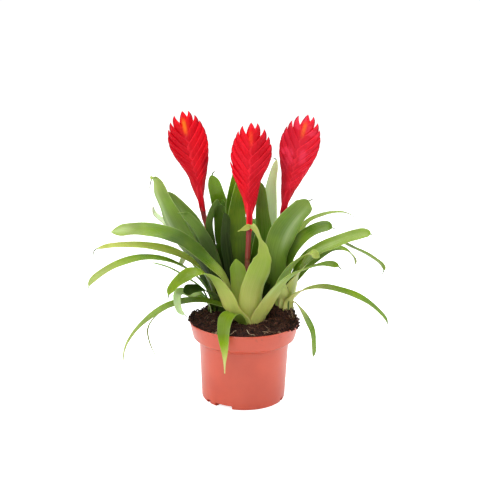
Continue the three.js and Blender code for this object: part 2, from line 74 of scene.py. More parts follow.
# %% Set up the camera
CAMERA_PLACE = (0, -0.950, 0.401)      # metres, in front of the pot
CAMERA_DOWN, CAMERA_ROLL = 13, 0.8     # degrees below level, and degrees off level
CAMERA_LENS = 66.3                     # mm, on a sensor 36 mm wide
CAMERA_SHIFT = -0.01125                # of the picture's width, to the left
camera = bpy.data.objects.new("camera", bpy.data.cameras.new("camera"))
camera.data.lens = CAMERA_LENS
camera.data.shift_x = CAMERA_SHIFT
camera.matrix_world = (Matrix.Translation(CAMERA_PLACE)
                       @ Matrix.Rotation(math.radians(90 - CAMERA_DOWN), 4, "X")
                       @ Matrix.Rotation(math.radians(CAMERA_ROLL), 4, "Z"))
scene.collection.objects.link(camera)
scene.camera = camera
print("camera", CAMERA_PLACE, "metres,", CAMERA_DOWN, "degrees down")

# %% [markdown]
# ## The studio
# A white studio table lights a plant softly. Two wide soft boxes at the sides give the pot its
# bright flanks and darker middle, one above gives the leaves their shine, and one in front fills
# the shade. Behind the plant the tent is bright, so edges seen at a low angle turn
# white, and on the camera's side it is dark, so colours that face the lens stay deep.
# The floor is one pale disc. A curved paper sweep would look the same from the front, but it
# would hide the plant from behind. Colours are shown plainly, without a film look, so the red
# stays as strong as it is.

# %% Lamps
LAMPS = {                   # place in metres, side in metres, power in watts
    "left_box": ((-1.45, 0.05, 0.85), 1.2, 13),
    "right_box": ((1.45, 0.05, 0.85), 1.2, 15),
    "front_box": ((-0.4, -1.25, 1.3), 1.0, 16),
    "top_box": ((0, 0.35, 1.7), 1.4, 18),
}
AIM = (0, 0, 0.16)          # the middle of the plant
for name, (place, side, power) in LAMPS.items():
    lamp = bpy.data.objects.new(name, bpy.data.lights.new(name, "AREA"))
    lamp.data.size = side
    lamp.data.energy = power
    lamp.location = place
    lamp.rotation_euler = (Vector(AIM) - lamp.location).to_track_quat("-Z", "Y").to_euler()
    scene.collection.objects.link(lamp)
print(len(LAMPS), "soft boxes around the pot")

# %% The white tent
TENT_SEEN, TENT_FRONT, TENT_BACK = 1.05, 0.12, 0.7      # brightness


def for_the_lens(tree, seen, others):
    """One shader for what the lens sees directly, and another for all other light."""
    path = tree.nodes.new("ShaderNodeLightPath")
    mix = tree.nodes.new("ShaderNodeMixShader")
    tree.links.new(path.outputs["Is Camera Ray"], mix.inputs[0])
    tree.links.new(others, mix.inputs[1])
    tree.links.new(seen, mix.inputs[2])
    return mix.outputs[0]


tent = bpy.data.worlds.new("white_tent")
tent.use_nodes = True
tree = tent.node_tree
light = tree.nodes["Background"]
seen = tree.nodes.new("ShaderNodeBackground")
for background in (light, seen):
    background.inputs["Color"].default_value = (1, 1, 1, 1)
seen.inputs["Strength"].default_value = TENT_SEEN
towards = tree.nodes.new("ShaderNodeSeparateXYZ")
tree.links.new(tree.nodes.new("ShaderNodeTexCoord").outputs["Generated"], towards.inputs[0])
fade = tree.nodes.new("ShaderNodeMapRange")
for place, value in (("From Min", -0.7), ("From Max", 0.9), ("To Min", TENT_FRONT),
                     ("To Max", TENT_BACK)):
    fade.inputs[place].default_value = value
tree.links.new(towards.outputs["Y"], fade.inputs["Value"])
tree.links.new(fade.outputs["Result"], light.inputs["Strength"])
tree.links.new(for_the_lens(tree, seen.outputs[0], light.outputs[0]),
               tree.nodes["World Output"].inputs["Surface"])
scene.world = tent
scene.view_settings.view_transform = "Standard"
print("a tent that fades from", TENT_BACK, "behind the plant to", TENT_FRONT, "in front of it")

# %% The floor
FLOOR_RADIUS, FLOOR_GLOW, FLOOR_SIDES = 12, 0.8, 96     # metres, brightness, corners
turn = np.linspace(0, 2 * np.pi, FLOOR_SIDES, endpoint=False)
edge = np.stack([np.cos(turn) * FLOOR_RADIUS, np.sin(turn) * FLOOR_RADIUS, turn * 0], 1)
floor_mesh = bpy.data.meshes.new("floor")
floor_mesh.from_pydata(edge.tolist(), [], [list(range(len(edge)))])
floor = bpy.data.objects.new("floor", floor_mesh)
scene.collection.objects.link(floor)
table = bpy.data.materials.new("white_table")
table.use_nodes = True
tree = table.node_tree
shader = tree.nodes["Principled BSDF"]
shader.inputs["Base Color"].default_value = (0.9, 0.9, 0.9, 1)
shader.inputs["Roughness"].default_value = 0.8
glow = tree.nodes.new("ShaderNodeEmission")
glow.inputs["Strength"].default_value = FLOOR_GLOW
both = tree.nodes.new("ShaderNodeAddShader")
tree.links.new(shader.outputs[0], both.inputs[0])
tree.links.new(glow.outputs[0], both.inputs[1])
tree.links.new(for_the_lens(tree, both.outputs[0], shader.outputs[0]),
               tree.nodes["Material Output"].inputs["Surface"])
floor_mesh.materials.append(table)
print("a floor", 2 * FLOOR_RADIUS, "m across")

# %% [markdown]
# ## Curves and surfaces from numpy
# Every piece of a plant is a profile carried along a curve: a leaf is a shallow arc swept along
# its arching keel, a stalk is a circle swept upwards. It could be sculpted by hand, but then a
# leaf couldn't be redrawn by changing one number. So a curve is drawn smoothly through a few
# points, a grid of points is worked out along it in whole arrays, and the grid becomes a mesh.

# %% Numbers that change smoothly
def lerp(a, b, share):
    """The value that lies share of the way from a to b."""
    return a + (b - a) * share


def smoothstep(x, low, high):
    """0 below low, 1 above high, and 3 t^2 - 2 t^3 between them, so both ends are gentle."""
    t = np.clip((x - low) / (high - low), 0, 1)
    return t * t * (3 - 2 * t)


def unit(rows):
    """Each row divided by its own length."""
    return rows / np.maximum(np.linalg.norm(rows, axis=-1, keepdims=True), 1e-12)


print("halfway up a smoothstep:", smoothstep(0.5, 0, 1))


# %% A smooth curve through a few points
def curve_through(points, steps=900):
    """A centripetal Catmull-Rom curve. Between two points it is a cubic whose end slopes come
    from the points on either side, weighted by the square roots of the spans, so it never loops.
    """
    knots = np.asarray(points, float)
    knots = np.vstack([2 * knots[0] - knots[1], knots, 2 * knots[-1] - knots[-2]])
    gap = np.maximum(np.linalg.norm(np.diff(knots, axis=0), axis=1) ** 0.5, 1e-4)[:, None]
    before, start, stop, after = knots[:-3], knots[1:-2], knots[2:-1], knots[3:]
    gap0, gap1, gap2 = gap[:-2], gap[1:-1], gap[2:]
    leave = ((start - before) / gap0 - (stop - before) / (gap0 + gap1)
             + (stop - start) / gap1) * gap1
    arrive = ((stop - start) / gap1 - (after - start) / (gap1 + gap2)
              + (after - stop) / gap2) * gap1
    place = np.linspace(0, len(start), steps + 1)
    k = np.minimum(place.astype(int), len(start) - 1)
    w = (place - k)[:, None]
    square = -3 * start + 3 * stop - 2 * leave - arrive
    cube = 2 * start - 2 * stop + leave + arrive
    return start[k] + leave[k] * w + square[k] * w ** 2 + cube[k] * w ** 3


def walk(curve, shares):
    """Points and unit directions at the given shares of the curve's length, and the length."""
    run = np.r_[0, np.cumsum(np.linalg.norm(np.diff(curve, axis=0), axis=1))]
    slope = np.gradient(curve, axis=0)
    shares = np.asarray(shares, float)
    at = np.stack([np.interp(shares * run[-1], run, curve[:, k]) for k in range(3)], -1)
    way = np.stack([np.interp(shares * run[-1], run, slope[:, k]) for k in range(3)], -1)
    return at, unit(way), run[-1]


arch = curve_through([(0, 0, 0), (40, 0, 60), (90, 0, 50)])
print("a test arch is", round(walk(arch, [0])[2], 1), "mm long")


# %% A grid of points becomes a mesh
def grid_faces(rows, cols, first=0):
    """The four corners of each square between neighbouring rows and columns. The last column
    joins the first, so the grid is a tube."""
    row, col = np.meshgrid(np.arange(rows - 1), np.arange(cols), indexing="ij")
    here, side = first + row * cols + col, first + row * cols + (col + 1) % cols
    return np.stack([here, side, side + cols, here + cols], -1).reshape(-1, 4)


def lid_faces(start, cols, flip):
    """Closes one end of a tube whose ring of points folds flat: each point of the first half is
    joined across to its partner in the second half, in strips."""
    near = start + np.arange(cols // 2)
    far = start + cols - 1 - np.arange(cols // 2)
    strip = np.stack([near[:-1], near[1:], far[1:], far[:-1]], -1)
    return strip[:, ::-1] if flip else strip


def tubes(grids):
    """Many closed tubes as one list of points and one of faces. grids is (n, rows, cols, 3)."""
    n, rows, cols, _ = grids.shape
    one = np.vstack([grid_faces(rows, cols), lid_faces(0, cols, True),
                     lid_faces((rows - 1) * cols, cols, False)])
    faces = (one[None] + np.arange(n)[:, None, None] * rows * cols).reshape(-1, 4)
    return grids.reshape(-1, 3), faces


print("a tube of 5 by 8 points has", len(grid_faces(5, 8)), "side faces")


# %% Points and faces become a piece
def outwards(points, faces):
    """Faces that point outwards. The corner products of all triangles add up to six times the
    volume inside, which is positive when they do, so otherwise every face is turned over."""
    middle = points.mean(0)
    a, b, c, d = (points[faces[:, k % faces.shape[1]]] - middle for k in range(4))
    inside = (np.cross(a, b) * c).sum() + (np.cross(a, c) * d).sum() * (faces.shape[1] > 3)
    return faces if inside > 0 else faces[:, ::-1]


def make_piece(name, points, faces, values=None, uv=None, smooth=True):
    """A mesh piece from points in millimetres. values are numbers per point that materials
    read by name, and uv is one pair per point. Faces are turned to point outwards."""
    mesh = bpy.data.meshes.new(name)
    faces = outwards(np.asarray(points), np.asarray(faces))
    sides = faces.shape[1]
    mesh.vertices.add(len(points))
    mesh.vertices.foreach_set("co", (np.asarray(points) / 1000).ravel())
    mesh.loops.add(faces.size)
    mesh.loops.foreach_set("vertex_index", faces.ravel())
    mesh.polygons.add(len(faces))
    mesh.polygons.foreach_set("loop_start", np.arange(len(faces)) * sides)
    mesh.update(calc_edges=True)
    if uv is not None:
        layer = mesh.uv_layers.new(name="UVMap")
        layer.uv.foreach_set("vector", np.asarray(uv)[faces.ravel()].ravel())
    for label, numbers in (values or {}).items():
        mesh.attributes.new(label, "FLOAT", "POINT").data.foreach_set("value", numbers.ravel())
    mesh.polygons.foreach_set("use_smooth", np.full(len(faces), smooth))
    piece = bpy.data.objects.new(name, mesh)
    scene.collection.objects.link(piece)
    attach(piece, "root")
    return piece


corners = np.array([(x, y, z) for z in (0, 1) for x, y in ((0, 0), (1, 0), (1, 1), (0, 1))], float)
box = np.vstack([grid_faces(2, 4), [(3, 2, 1, 0), (4, 5, 6, 7)]])
turned_back = (outwards(corners, box[:, ::-1]) == box).all()
print("a test box that is inside out is turned back:", bool(turned_back))

# %% [markdown]
# ## Shared finishes
# Several skins on this plant share the same effects: fine lines that run lengthwise, cloudy
# patches with fine grain, and a band along an edge. Each effect is a node group with named
# inputs, built once. A material places it with its own numbers, and only colours, masks and
# heights come out of it. The shader itself stays in the material.

# %% Helpers for nodes
def paint(code):
    """A colour code such as #E3102A as the linear red, green, blue and alpha that nodes use."""
    part = np.array([int(code[k:k + 2], 16) for k in (1, 3, 5)]) / 255
    linear = np.where(part < 0.04045, part / 12.92, ((part + 0.055) / 1.055) ** 2.4)
    return (*linear.tolist(), 1.0)


def add(tree, kind, inputs=(), **settings):
    """Adds a node. Each input gets its number or colour, or is joined to the socket given."""
    made = tree.nodes.new("ShaderNode" + kind)
    for label, value in settings.items():
        setattr(made, label, value)
    for place, value in dict(inputs).items():
        if isinstance(value, bpy.types.NodeSocket):
            tree.links.new(value, made.inputs[place])
        else:
            made.inputs[place].default_value = value
    return made


def ramp(tree, value, low, high, to_low=0.0, to_high=1.0):
    """A smooth step of value from low to high, stretched to the two results."""
    return add(tree, "MapRange", {"Value": value, "From Min": low, "From Max": high,
                                  "To Min": to_low, "To Max": to_high},
               interpolation_type="SMOOTHSTEP").outputs["Result"]


def calc(tree, operation, a, b=0.0):
    """One sum, product or other step of arithmetic."""
    return add(tree, "Math", {0: a, 1: b}, operation=operation).outputs[0]


def blend(tree, share, a, b, kind="MIX"):
    """Colour a changed towards colour b by share."""
    return add(tree, "Mix", {0: share, 6: a, 7: b}, data_type="RGBA",
               blend_type=kind).outputs[2]


def read(tree, label):
    """The number that each point of the piece carries under this name."""
    return add(tree, "Attribute", attribute_name=label).outputs["Fac"]


print("orange paint in linear light:", [round(v, 3) for v in paint("#EF876B")])


# %% Helpers for node groups
def new_group(name, inputs, outputs):
    """An empty node group with named number inputs and outputs, and its two end nodes."""
    tree = bpy.data.node_groups.new(name, "ShaderNodeTree")
    for label, value in inputs.items():
        tree.interface.new_socket(label, in_out="INPUT",
                                  socket_type="NodeSocketFloat").default_value = value
    for label in outputs:
        tree.interface.new_socket(label, in_out="OUTPUT", socket_type="NodeSocketFloat")
    return tree, tree.nodes.new("NodeGroupInput").outputs, tree.nodes.new("NodeGroupOutput").inputs


def use(tree, group, **inputs):
    """Places a node group in a material and gives back its outputs."""
    made = tree.nodes.new("ShaderNodeGroup")
    made.node_tree = group
    for label, value in inputs.items():
        if isinstance(value, bpy.types.NodeSocket):
            tree.links.new(value, made.inputs[label])
        else:
            made.inputs[label].default_value = value
    return made.outputs


print("node groups so far:", len(bpy.data.node_groups))

# %% [markdown]
# Lengthwise lines follow the blade, so they read the piece's own UV map: U runs across from
# edge to edge and V runs along. A sine of U gives even veins, and a noise that is stretched
# along V gives uneven streaks. A picture of veins could be wrapped on, but it would stretch
# where the blade narrows, and real veins crowd together there as these do.

# %% Lengthwise lines
veins, given, result = new_group(
    "lengthwise_lines", {"Count": 22.0, "Wander": 0.6, "Stretch": 0.5}, ["Line", "Streak"])
place = add(veins, "SeparateXYZ", {0: add(veins, "TexCoord").outputs["UV"]}).outputs
slow = add(veins, "CombineXYZ", {0: calc(veins, "MULTIPLY", place[0], 4.0), 1: place[1]})
wander = add(veins, "TexNoise", {"Vector": slow.outputs[0], "Scale": 2.0, "Detail": 1.0})
turns = calc(veins, "MULTIPLY", place[0], given["Count"])
turns = calc(veins, "ADD", turns, calc(veins, "MULTIPLY", wander.outputs[0], given["Wander"]))
wave = calc(veins, "SINE", calc(veins, "MULTIPLY", turns, 2 * math.pi))
veins.links.new(ramp(veins, wave, -1.0, 1.0), result["Line"])
drawn = add(veins, "CombineXYZ", {0: calc(veins, "MULTIPLY", place[0], given["Count"]),
                                  1: calc(veins, "MULTIPLY", place[1], given["Stretch"]),
                                  2: read(veins, "tint")})
streak = add(veins, "TexNoise", {"Vector": drawn.outputs[0], "Scale": 1.0, "Detail": 3.0})
veins.links.new(ramp(veins, streak.outputs[0], 0.3, 0.7), result["Streak"])
print("group", veins.name, "with", len(veins.nodes), "nodes")

# %% [markdown]
# Living skin is never one even colour. Large soft clouds shift the tone over some centimetres,
# and a fine grain breaks up the shine. Both are noise on object coordinates in metres, so they
# keep their real scale on every piece.

# %% Clouds and grain
clouds, given, result = new_group("clouds_and_grain", {"Clouds": 28.0, "Grain": 900.0},
                                  ["Cloud", "Grain"])
where = add(clouds, "TexCoord").outputs["Object"]
cloud = add(clouds, "TexNoise", {"Vector": where, "Scale": given["Clouds"], "Detail": 3.0})
grain = add(clouds, "TexNoise", {"Vector": where, "Scale": given["Grain"], "Detail": 2.0})
clouds.links.new(ramp(clouds, cloud.outputs[0], 0.3, 0.7), result["Cloud"])
clouds.links.new(ramp(clouds, grain.outputs[0], 0.25, 0.75), result["Grain"])
print("group", clouds.name, "with", len(clouds.nodes), "nodes")

# %% [markdown]
# A blade or a bract dries and colours first along its margins. The band is worked out from U,
# as how near a point is to either edge, and a little noise frays its inner side.

# %% A band along the margins
margin, given, result = new_group("margin_band", {"Width": 0.1, "Fray": 0.5}, ["Band"])
across = add(margin, "SeparateXYZ", {0: add(margin, "TexCoord").outputs["UV"]}).outputs[0]
edge = calc(margin, "MULTIPLY", calc(margin, "ABSOLUTE", calc(margin, "SUBTRACT", across, 0.5)),
            2.0)
fray = add(margin, "TexNoise", {"Vector": add(margin, "TexCoord").outputs["Object"],
                                "Scale": 160.0, "Detail": 2.0})
fray = calc(margin, "MULTIPLY", calc(margin, "SUBTRACT", fray.outputs[0], 0.5),
            calc(margin, "MULTIPLY", given["Fray"], given["Width"]))
start = calc(margin, "SUBTRACT", 1.0, given["Width"])
band = add(margin, "MapRange", {"Value": calc(margin, "ADD", edge, fray), "From Min": start,
                                "From Max": 1.0}, interpolation_type="SMOOTHSTEP")
margin.links.new(band.outputs["Result"], result["Band"])
print("group", margin.name, "with", len(margin.nodes), "nodes")

# %% [markdown]
# ## The leaf skin
# A bromeliad leaf is a leathery strap. Its upper face is glossy and deep green, its underside
# is paler with a bloom of tiny scales, its clasping base is pale yellow-green because light
# never reached it, and its tip ends in a small dry brown point. One recipe makes all four
# tones of leaf, and the dark tone is a darker copy that paints shade on leaves deep in the
# clump. What differs along one leaf is kept on its points as plain numbers: light below zero is
# painted shade, and above zero it pales the leaf, which is the pale sheath at the foot and a
# painted glare towards the end. Another number lays a painted highlight along the blade as a
# broad pale streak, dry says where the tip is dead, and under is 1 on the lower face. The
# colours themselves are worked out here. Thin leaves also let some light through, which a
# little subsurface scattering gives without a second shader.

# %% Leaf materials
LEAF_TONES = {        # blade, deeper blade, pale sheath and end, and specular level
    # The pale colour is the sheath's own at the foot, and a painted glare at the outer end.
    "bright": ("#7A9A0C", "#5C8004", "#C8C868", 0.22),
    "mid": ("#6C900E", "#466E02", "#C0C86C", 0.25),
    # The dark tone is painted shade: a darker copy of the blade for the leaves deep in the clump.
    "dark": ("#486E08", "#2A4A02", "#A8B464", 0.08),
    "pale": ("#9AB44C", "#7E9E38", "#DDF0C2", 0.3),
}


def leaf_colour(tree, lines, skins, band, under, blade, deep, pale):
    """Clouds and streaks between two greens; pale where the leaf's own light value is above zero,
    which is the real pale sheath at the foot and a painted glare further out, and nearly
    black-green where it is below, which is painted shade; light margins that rust on the pale
    sheath, where the rust also paints shade into the seams between sheaths; a streaky painted
    highlight where the leaf carries one; and a dry drip tip. Gives back the painted shade too.
    """
    tone = calc(tree, "ADD", calc(tree, "MULTIPLY", skins["Cloud"], 0.75),
                calc(tree, "MULTIPLY", lines["Streak"], 0.25))
    tone = calc(tree, "ADD", tone, read(tree, "tint"))
    colour = blend(tree, ramp(tree, tone, 0.2, 0.9), paint(blade), paint(deep))
    colour = blend(tree, calc(tree, "MULTIPLY", lines["Line"], 0.06), colour, paint(pale))
    shift = calc(tree, "MULTIPLY", calc(tree, "SUBTRACT", lines["Streak"], 0.5), 0.15)
    light = calc(tree, "ADD", read(tree, "light"), shift)
    # Above zero light pales the leaf: the real pale sheath at the foot, and a painted glare further
    # out.
    pale_sheath_and_painted_glare = calc(tree, "MULTIPLY", calc(tree, "MAXIMUM", light, 0.0), 0.95)
    colour = blend(tree, pale_sheath_and_painted_glare, colour, paint(pale))
    colour = blend(tree, calc(tree, "MULTIPLY", under, 0.14), colour, paint("#B2C080"))
    colour = blend(tree, calc(tree, "MULTIPLY", band["Band"], 0.5), colour, paint("#CAD38A"))
    # The rust is partly the real dry margin and partly painted shade in the seams between the
    # sheaths.
    rust_and_seam_shade = calc(tree, "MULTIPLY", calc(tree, "MULTIPLY", band["Band"], pale_sheath_and_painted_glare), 0.8)
    colour = blend(tree, rust_and_seam_shade, colour, paint("#9A7440"))
    # Below zero light is painted shade: the leaf turns nearly black-green.
    painted_shade = calc(tree, "MAXIMUM", calc(tree, "MULTIPLY", light, -0.92), 0.0)
    colour = blend(tree, painted_shade, colour, paint("#0E1A04"))
    # A painted highlight: a pale streak laid into the colour where the leaf carries one.
    painted_highlight = calc(tree, "MULTIPLY", read(tree, "painted_highlight"),
                 ramp(tree, lines["Streak"], 0.1, 0.7, 0.6, 1.0))
    colour = blend(tree, painted_highlight, colour, paint("#CFE0A8"))
    return blend(tree, read(tree, "dry"), colour, paint("#4A4A2A")), painted_shade


def leaf_skin(name, blade, deep, pale, shine):
    """The glossy strap leaf: its colour, fine veins and grain as relief, a duller underside and
    shaded foot, and some light let through, greener than it comes in."""
    skin = bpy.data.materials.new(name)
    skin.use_nodes = True
    tree = skin.node_tree
    shader = tree.nodes["Principled BSDF"]
    lines = use(tree, veins, Count=13.0, Wander=0.8, Stretch=0.35)
    skins = use(tree, clouds, Clouds=26.0, Grain=1400.0)
    band = use(tree, margin, Width=0.07, Fray=0.6)
    under = read(tree, "under")
    colour, painted_shade = leaf_colour(tree, lines, skins, band, under, blade, deep, pale)
    tree.links.new(colour, shader.inputs["Base Color"])
    rough = calc(tree, "ADD", calc(tree, "MULTIPLY", skins["Grain"], 0.1),
                 calc(tree, "MULTIPLY", under, 0.1))
    rough = calc(tree, "ADD", rough, calc(tree, "MULTIPLY", painted_shade, 0.4))
    tree.links.new(calc(tree, "ADD", rough, 0.2), shader.inputs["Roughness"])
    height = calc(tree, "ADD", calc(tree, "MULTIPLY", lines["Line"], 0.7),
                  calc(tree, "MULTIPLY", skins["Grain"], 0.3))
    bump = add(tree, "Bump", {"Height": height, "Strength": 0.25, "Distance": 0.0003})
    tree.links.new(bump.outputs[0], shader.inputs["Normal"])
    shader.inputs["Specular IOR Level"].default_value = shine
    shader.inputs["Subsurface Weight"].default_value = 0.3
    shader.inputs["Subsurface Radius"].default_value = (0.4, 1.0, 0.15)
    shader.inputs["Subsurface Scale"].default_value = 0.002
    return skin


leaf_skins = {tone: leaf_skin("leaf_" + tone, *finish) for tone, finish in LEAF_TONES.items()}
print("leaf skins:", ", ".join(leaf_skins))

# %% [markdown]
# ## The leaves
# A strap leaf grows as a tube-like sheath that clasps its rosette, opens into a channel, arches
# over and narrows to a point. So a leaf is a circular arc swept along its keel line: the arc is
# nearly half a turn at the foot and a shallow dish further out. The sweep also lets the arc
# turn to face another way and roll about the keel. A flat outline that is bent afterwards would
# crumple, and a sculpted leaf couldn't be adjusted forty times.
# The surface has two skins, so that the blade is thin but real, and they meet in thin rounded
# margins. The edges wave slightly, as a blade that grows faster at its margins does.

# %% Where each rosette stands
LEFT, FRONT, RIGHT = (-24, 26, 94), (5, -8, 93), (42, 12, 104)      # on top of the soil, in mm
SOCKET_DEPTH, FOOT_GAP = 9, 0.3     # how far a foot goes into the soil, and its room below
COLLAR = 0.6                        # how much further out a leaf is where it leaves the soil


def on_plan(degrees):
    """The level direction at an angle, counted from +X towards +Y."""
    angle = np.radians(np.asarray(degrees, float))
    return np.stack([np.cos(angle), np.sin(angle), angle * 0], -1)


def leaf(rosette, path, **shape):
    """One leaf of a rosette, with the usual value for whatever its entry leaves out."""
    usual = dict(clasp=45, roll=0, end=0.9, lift=7, narrow_from=0.6, narrow_to=0.75, outline=None,
                 sheen=(0, 1, 0, 1, 0))
    return dict(usual, face=shape["angle"], rosette=rosette, path=path) | shape


print("three rosettes, at", LEFT, FRONT, RIGHT)

# %% [markdown]
# Every leaf is one entry in a table. On the plan, ring and angle place its foot, in millimetres
# and degrees round the middle of its rosette, and face is the way its upper side turns further
# out. clasp is half the angle of its arc at the foot, and roll leans it about its own keel.
# width is its full width, and end the share of its length where the blade closes and the thin
# drip tip begins. The width follows outline, as places along the leaf and shares of the width,
# or else it narrows from narrow_from on. tones are the light values at the foot, the middle and
# the end: below zero they are painted shade, and above zero the pale sheath at the foot or a
# painted glare further out. sheen is one lengthwise painted highlight: its middle across and its
# spread, where it starts and stops along, and its strength. path is the line of the keel, in
# millimetres.
# A rule could place leaves evenly around a rosette, but forty plain rows say where each one is.

# %% The left rosette's leaves
LEAVES = {
    "leaf_left_wide": leaf(LEFT, ring=9, angle=181, clasp=31, face=235, width=30, end=0.93,
        tone="mid", tones=(-1, -0.45, 0.45), sheen=(-0.55, 0.35, 0.4, 0.95, 0.4),
        outline=[(0, 0.8), (0.34, 1.05), (0.6, 1), (0.8, 0.68), (0.91, 0.4), (1, 0.1)],
        path=[(-42, 25, 130), (-56, 26, 151), (-69, 28, 172), (-82, 32, 193), (-91, 36, 211),
              (-98, 40, 226), (-102, 42, 239), (-106, 41, 244), (-108, 38, 238),
              (-110, 36, 228)]),
    "leaf_left_wide_back": leaf(LEFT, ring=9, angle=117, clasp=22, face=250, width=26, end=1,
        tone="mid", tones=(-0.95, -0.4, 0.2), sheen=(-0.2, 0.4, 0.5, 0.95, 0.3),
        outline=[(0, 0.7), (0.4, 1), (0.7, 0.85), (0.95, 0.4)],
        path=[(-40, 46, 150), (-53, 49, 173), (-66, 52, 194), (-78, 54, 211), (-91, 57, 224)]),
    "leaf_left_pale_end": leaf(LEFT, ring=11.5, angle=151, clasp=19, face=200, width=15, end=1,
        roll=-30, tone="pale", tones=(-0.3, 0.6, 1),
        path=[(-53, 51, 146), (-69, 54, 167), (-86, 54, 181), (-97, 52, 191), (-106, 50, 200),
              (-107, 48, 209)]),
    "leaf_left_bent_over": leaf(LEFT, ring=9, angle=254, clasp=31, face=255, width=15, end=1,
        tone="dark", tones=(-1, -0.6, 0.1),
        path=[(-30, 9, 135), (-39, 9, 166), (-53, 12, 191), (-68, 14, 206), (-75, 11, 209)]),
    "leaf_left_thin_arch": leaf(LEFT, ring=11.5, angle=215, clasp=22, width=15, end=0.93,
        roll=-40, narrow_from=0.35, narrow_to=0.4, tone="bright", tones=(0.3, 0.35, 0.7),
        path=[(-40, 6, 131), (-56, 2, 153), (-81, -2, 168), (-109, -6, 175), (-137, -8, 176),
              (-155, -10, 174), (-165, -10, 170), (-167, -10, 160)]),
    "leaf_left_low_arch": leaf(LEFT, ring=14, angle=215, clasp=14, width=14, end=0.97, roll=-14,
        tone="mid", tones=(0, -0.1, 0.6),
        path=[(-45, 4, 127), (-62, -4, 147), (-87, -10, 160), (-112, -14, 163), (-139, -16, 156),
              (-161, -18, 143), (-170, -18, 134), (-172, -18, 125)]),
    "leaf_left_under": leaf(LEFT, ring=17, angle=187, clasp=6, width=8, end=1, tone="pale",
        tones=(0.2, 0.2, 0.6),
        path=[(-50, 14, 122), (-68, 11, 136), (-86, 8, 147), (-104, 6, 153)]),
    "leaf_left_dark_short": leaf(LEFT, ring=14, angle=262, clasp=19, width=18, end=1, roll=-30,
        tone="dark", tones=(-0.3, -0.4, -0.4),
        path=[(-33, -3, 116), (-46, -11, 127), (-59, -17, 129), (-67, -20, 127)]),
    "leaf_left_small_curl": leaf(LEFT, ring=17, angle=209, clasp=11, width=10, end=0.92, roll=-40,
        lift=4, tone="pale", tones=(0.3, 0.3, 0.5),
        path=[(-50, 9, 117), (-62, 8, 116), (-70, 2, 121), (-74, -8, 121), (-74, -15, 114),
              (-71, -20, 106), (-65, -22, 101), (-59, -22, 96)]),
    "leaf_left_tall": leaf(LEFT, ring=7, angle=70, clasp=36, face=90, width=19, end=0.93,
        tone="mid", tones=(-1, -0.65, 0),
        outline=[(0, 1.2), (0.3, 1.5), (0.48, 1.35), (0.7, 1), (0.95, 0.75), (1, 0.6)],
        path=[(-18, 38, 149), (-24, 36, 185), (-30, 32, 218), (-36, 28, 240), (-38, 26, 250),
              (-35, 24, 254), (-29, 22, 254)]),
    "leaf_left_curl_over": leaf(LEFT, ring=5.5, angle=200, clasp=40, face=270, width=9, end=1,
        tone="dark", tones=(-1, -0.7, -0.2),
        path=[(-34, 25, 139), (-38, 25, 171), (-41, 24, 195), (-36, 23, 213), (-29, 21, 221),
              (-23, 18, 216)]),
    "leaf_left_hanging": leaf(LEFT, ring=17, angle=163, clasp=12, width=7, end=0.94, lift=4,
        narrow_from=0.4, narrow_to=0.35, tone="mid", tones=(0, 0, 0.2),
        path=[(-48, 29, 107), (-64, 24, 106), (-84, 15, 99), (-101, 8, 89), (-109, 5, 76),
              (-107, 4, 59), (-99, 4, 40)]),
    "leaf_left_back_low": leaf(LEFT, ring=14, angle=140, clasp=25, width=15, end=0.96, tone="mid",
        tones=(-0.8, -0.2, 0.2),
        path=[(-48, 52, 124), (-62, 78, 137), (-74, 102, 134), (-80, 116, 118)]),
    "leaf_left_back": leaf(LEFT, ring=11.5, angle=103, clasp=12, width=17, end=0.96, tone="dark",
        tones=(-0.8, -0.2, 0.2),
        path=[(-43, 64, 138), (-60, 92, 162), (-75, 122, 160), (-82, 140, 140)]),
    "leaf_left_back_middle": leaf(LEFT, ring=11.5, angle=70, clasp=17, width=14, end=0.96,
        tone="mid", tones=(-0.8, -0.2, 0.2),
        path=[(-18, 60, 136), (-21, 90, 162), (-27, 118, 163), (-33, 138, 146)]),
}
print(len(LEAVES), "leaves on the left")

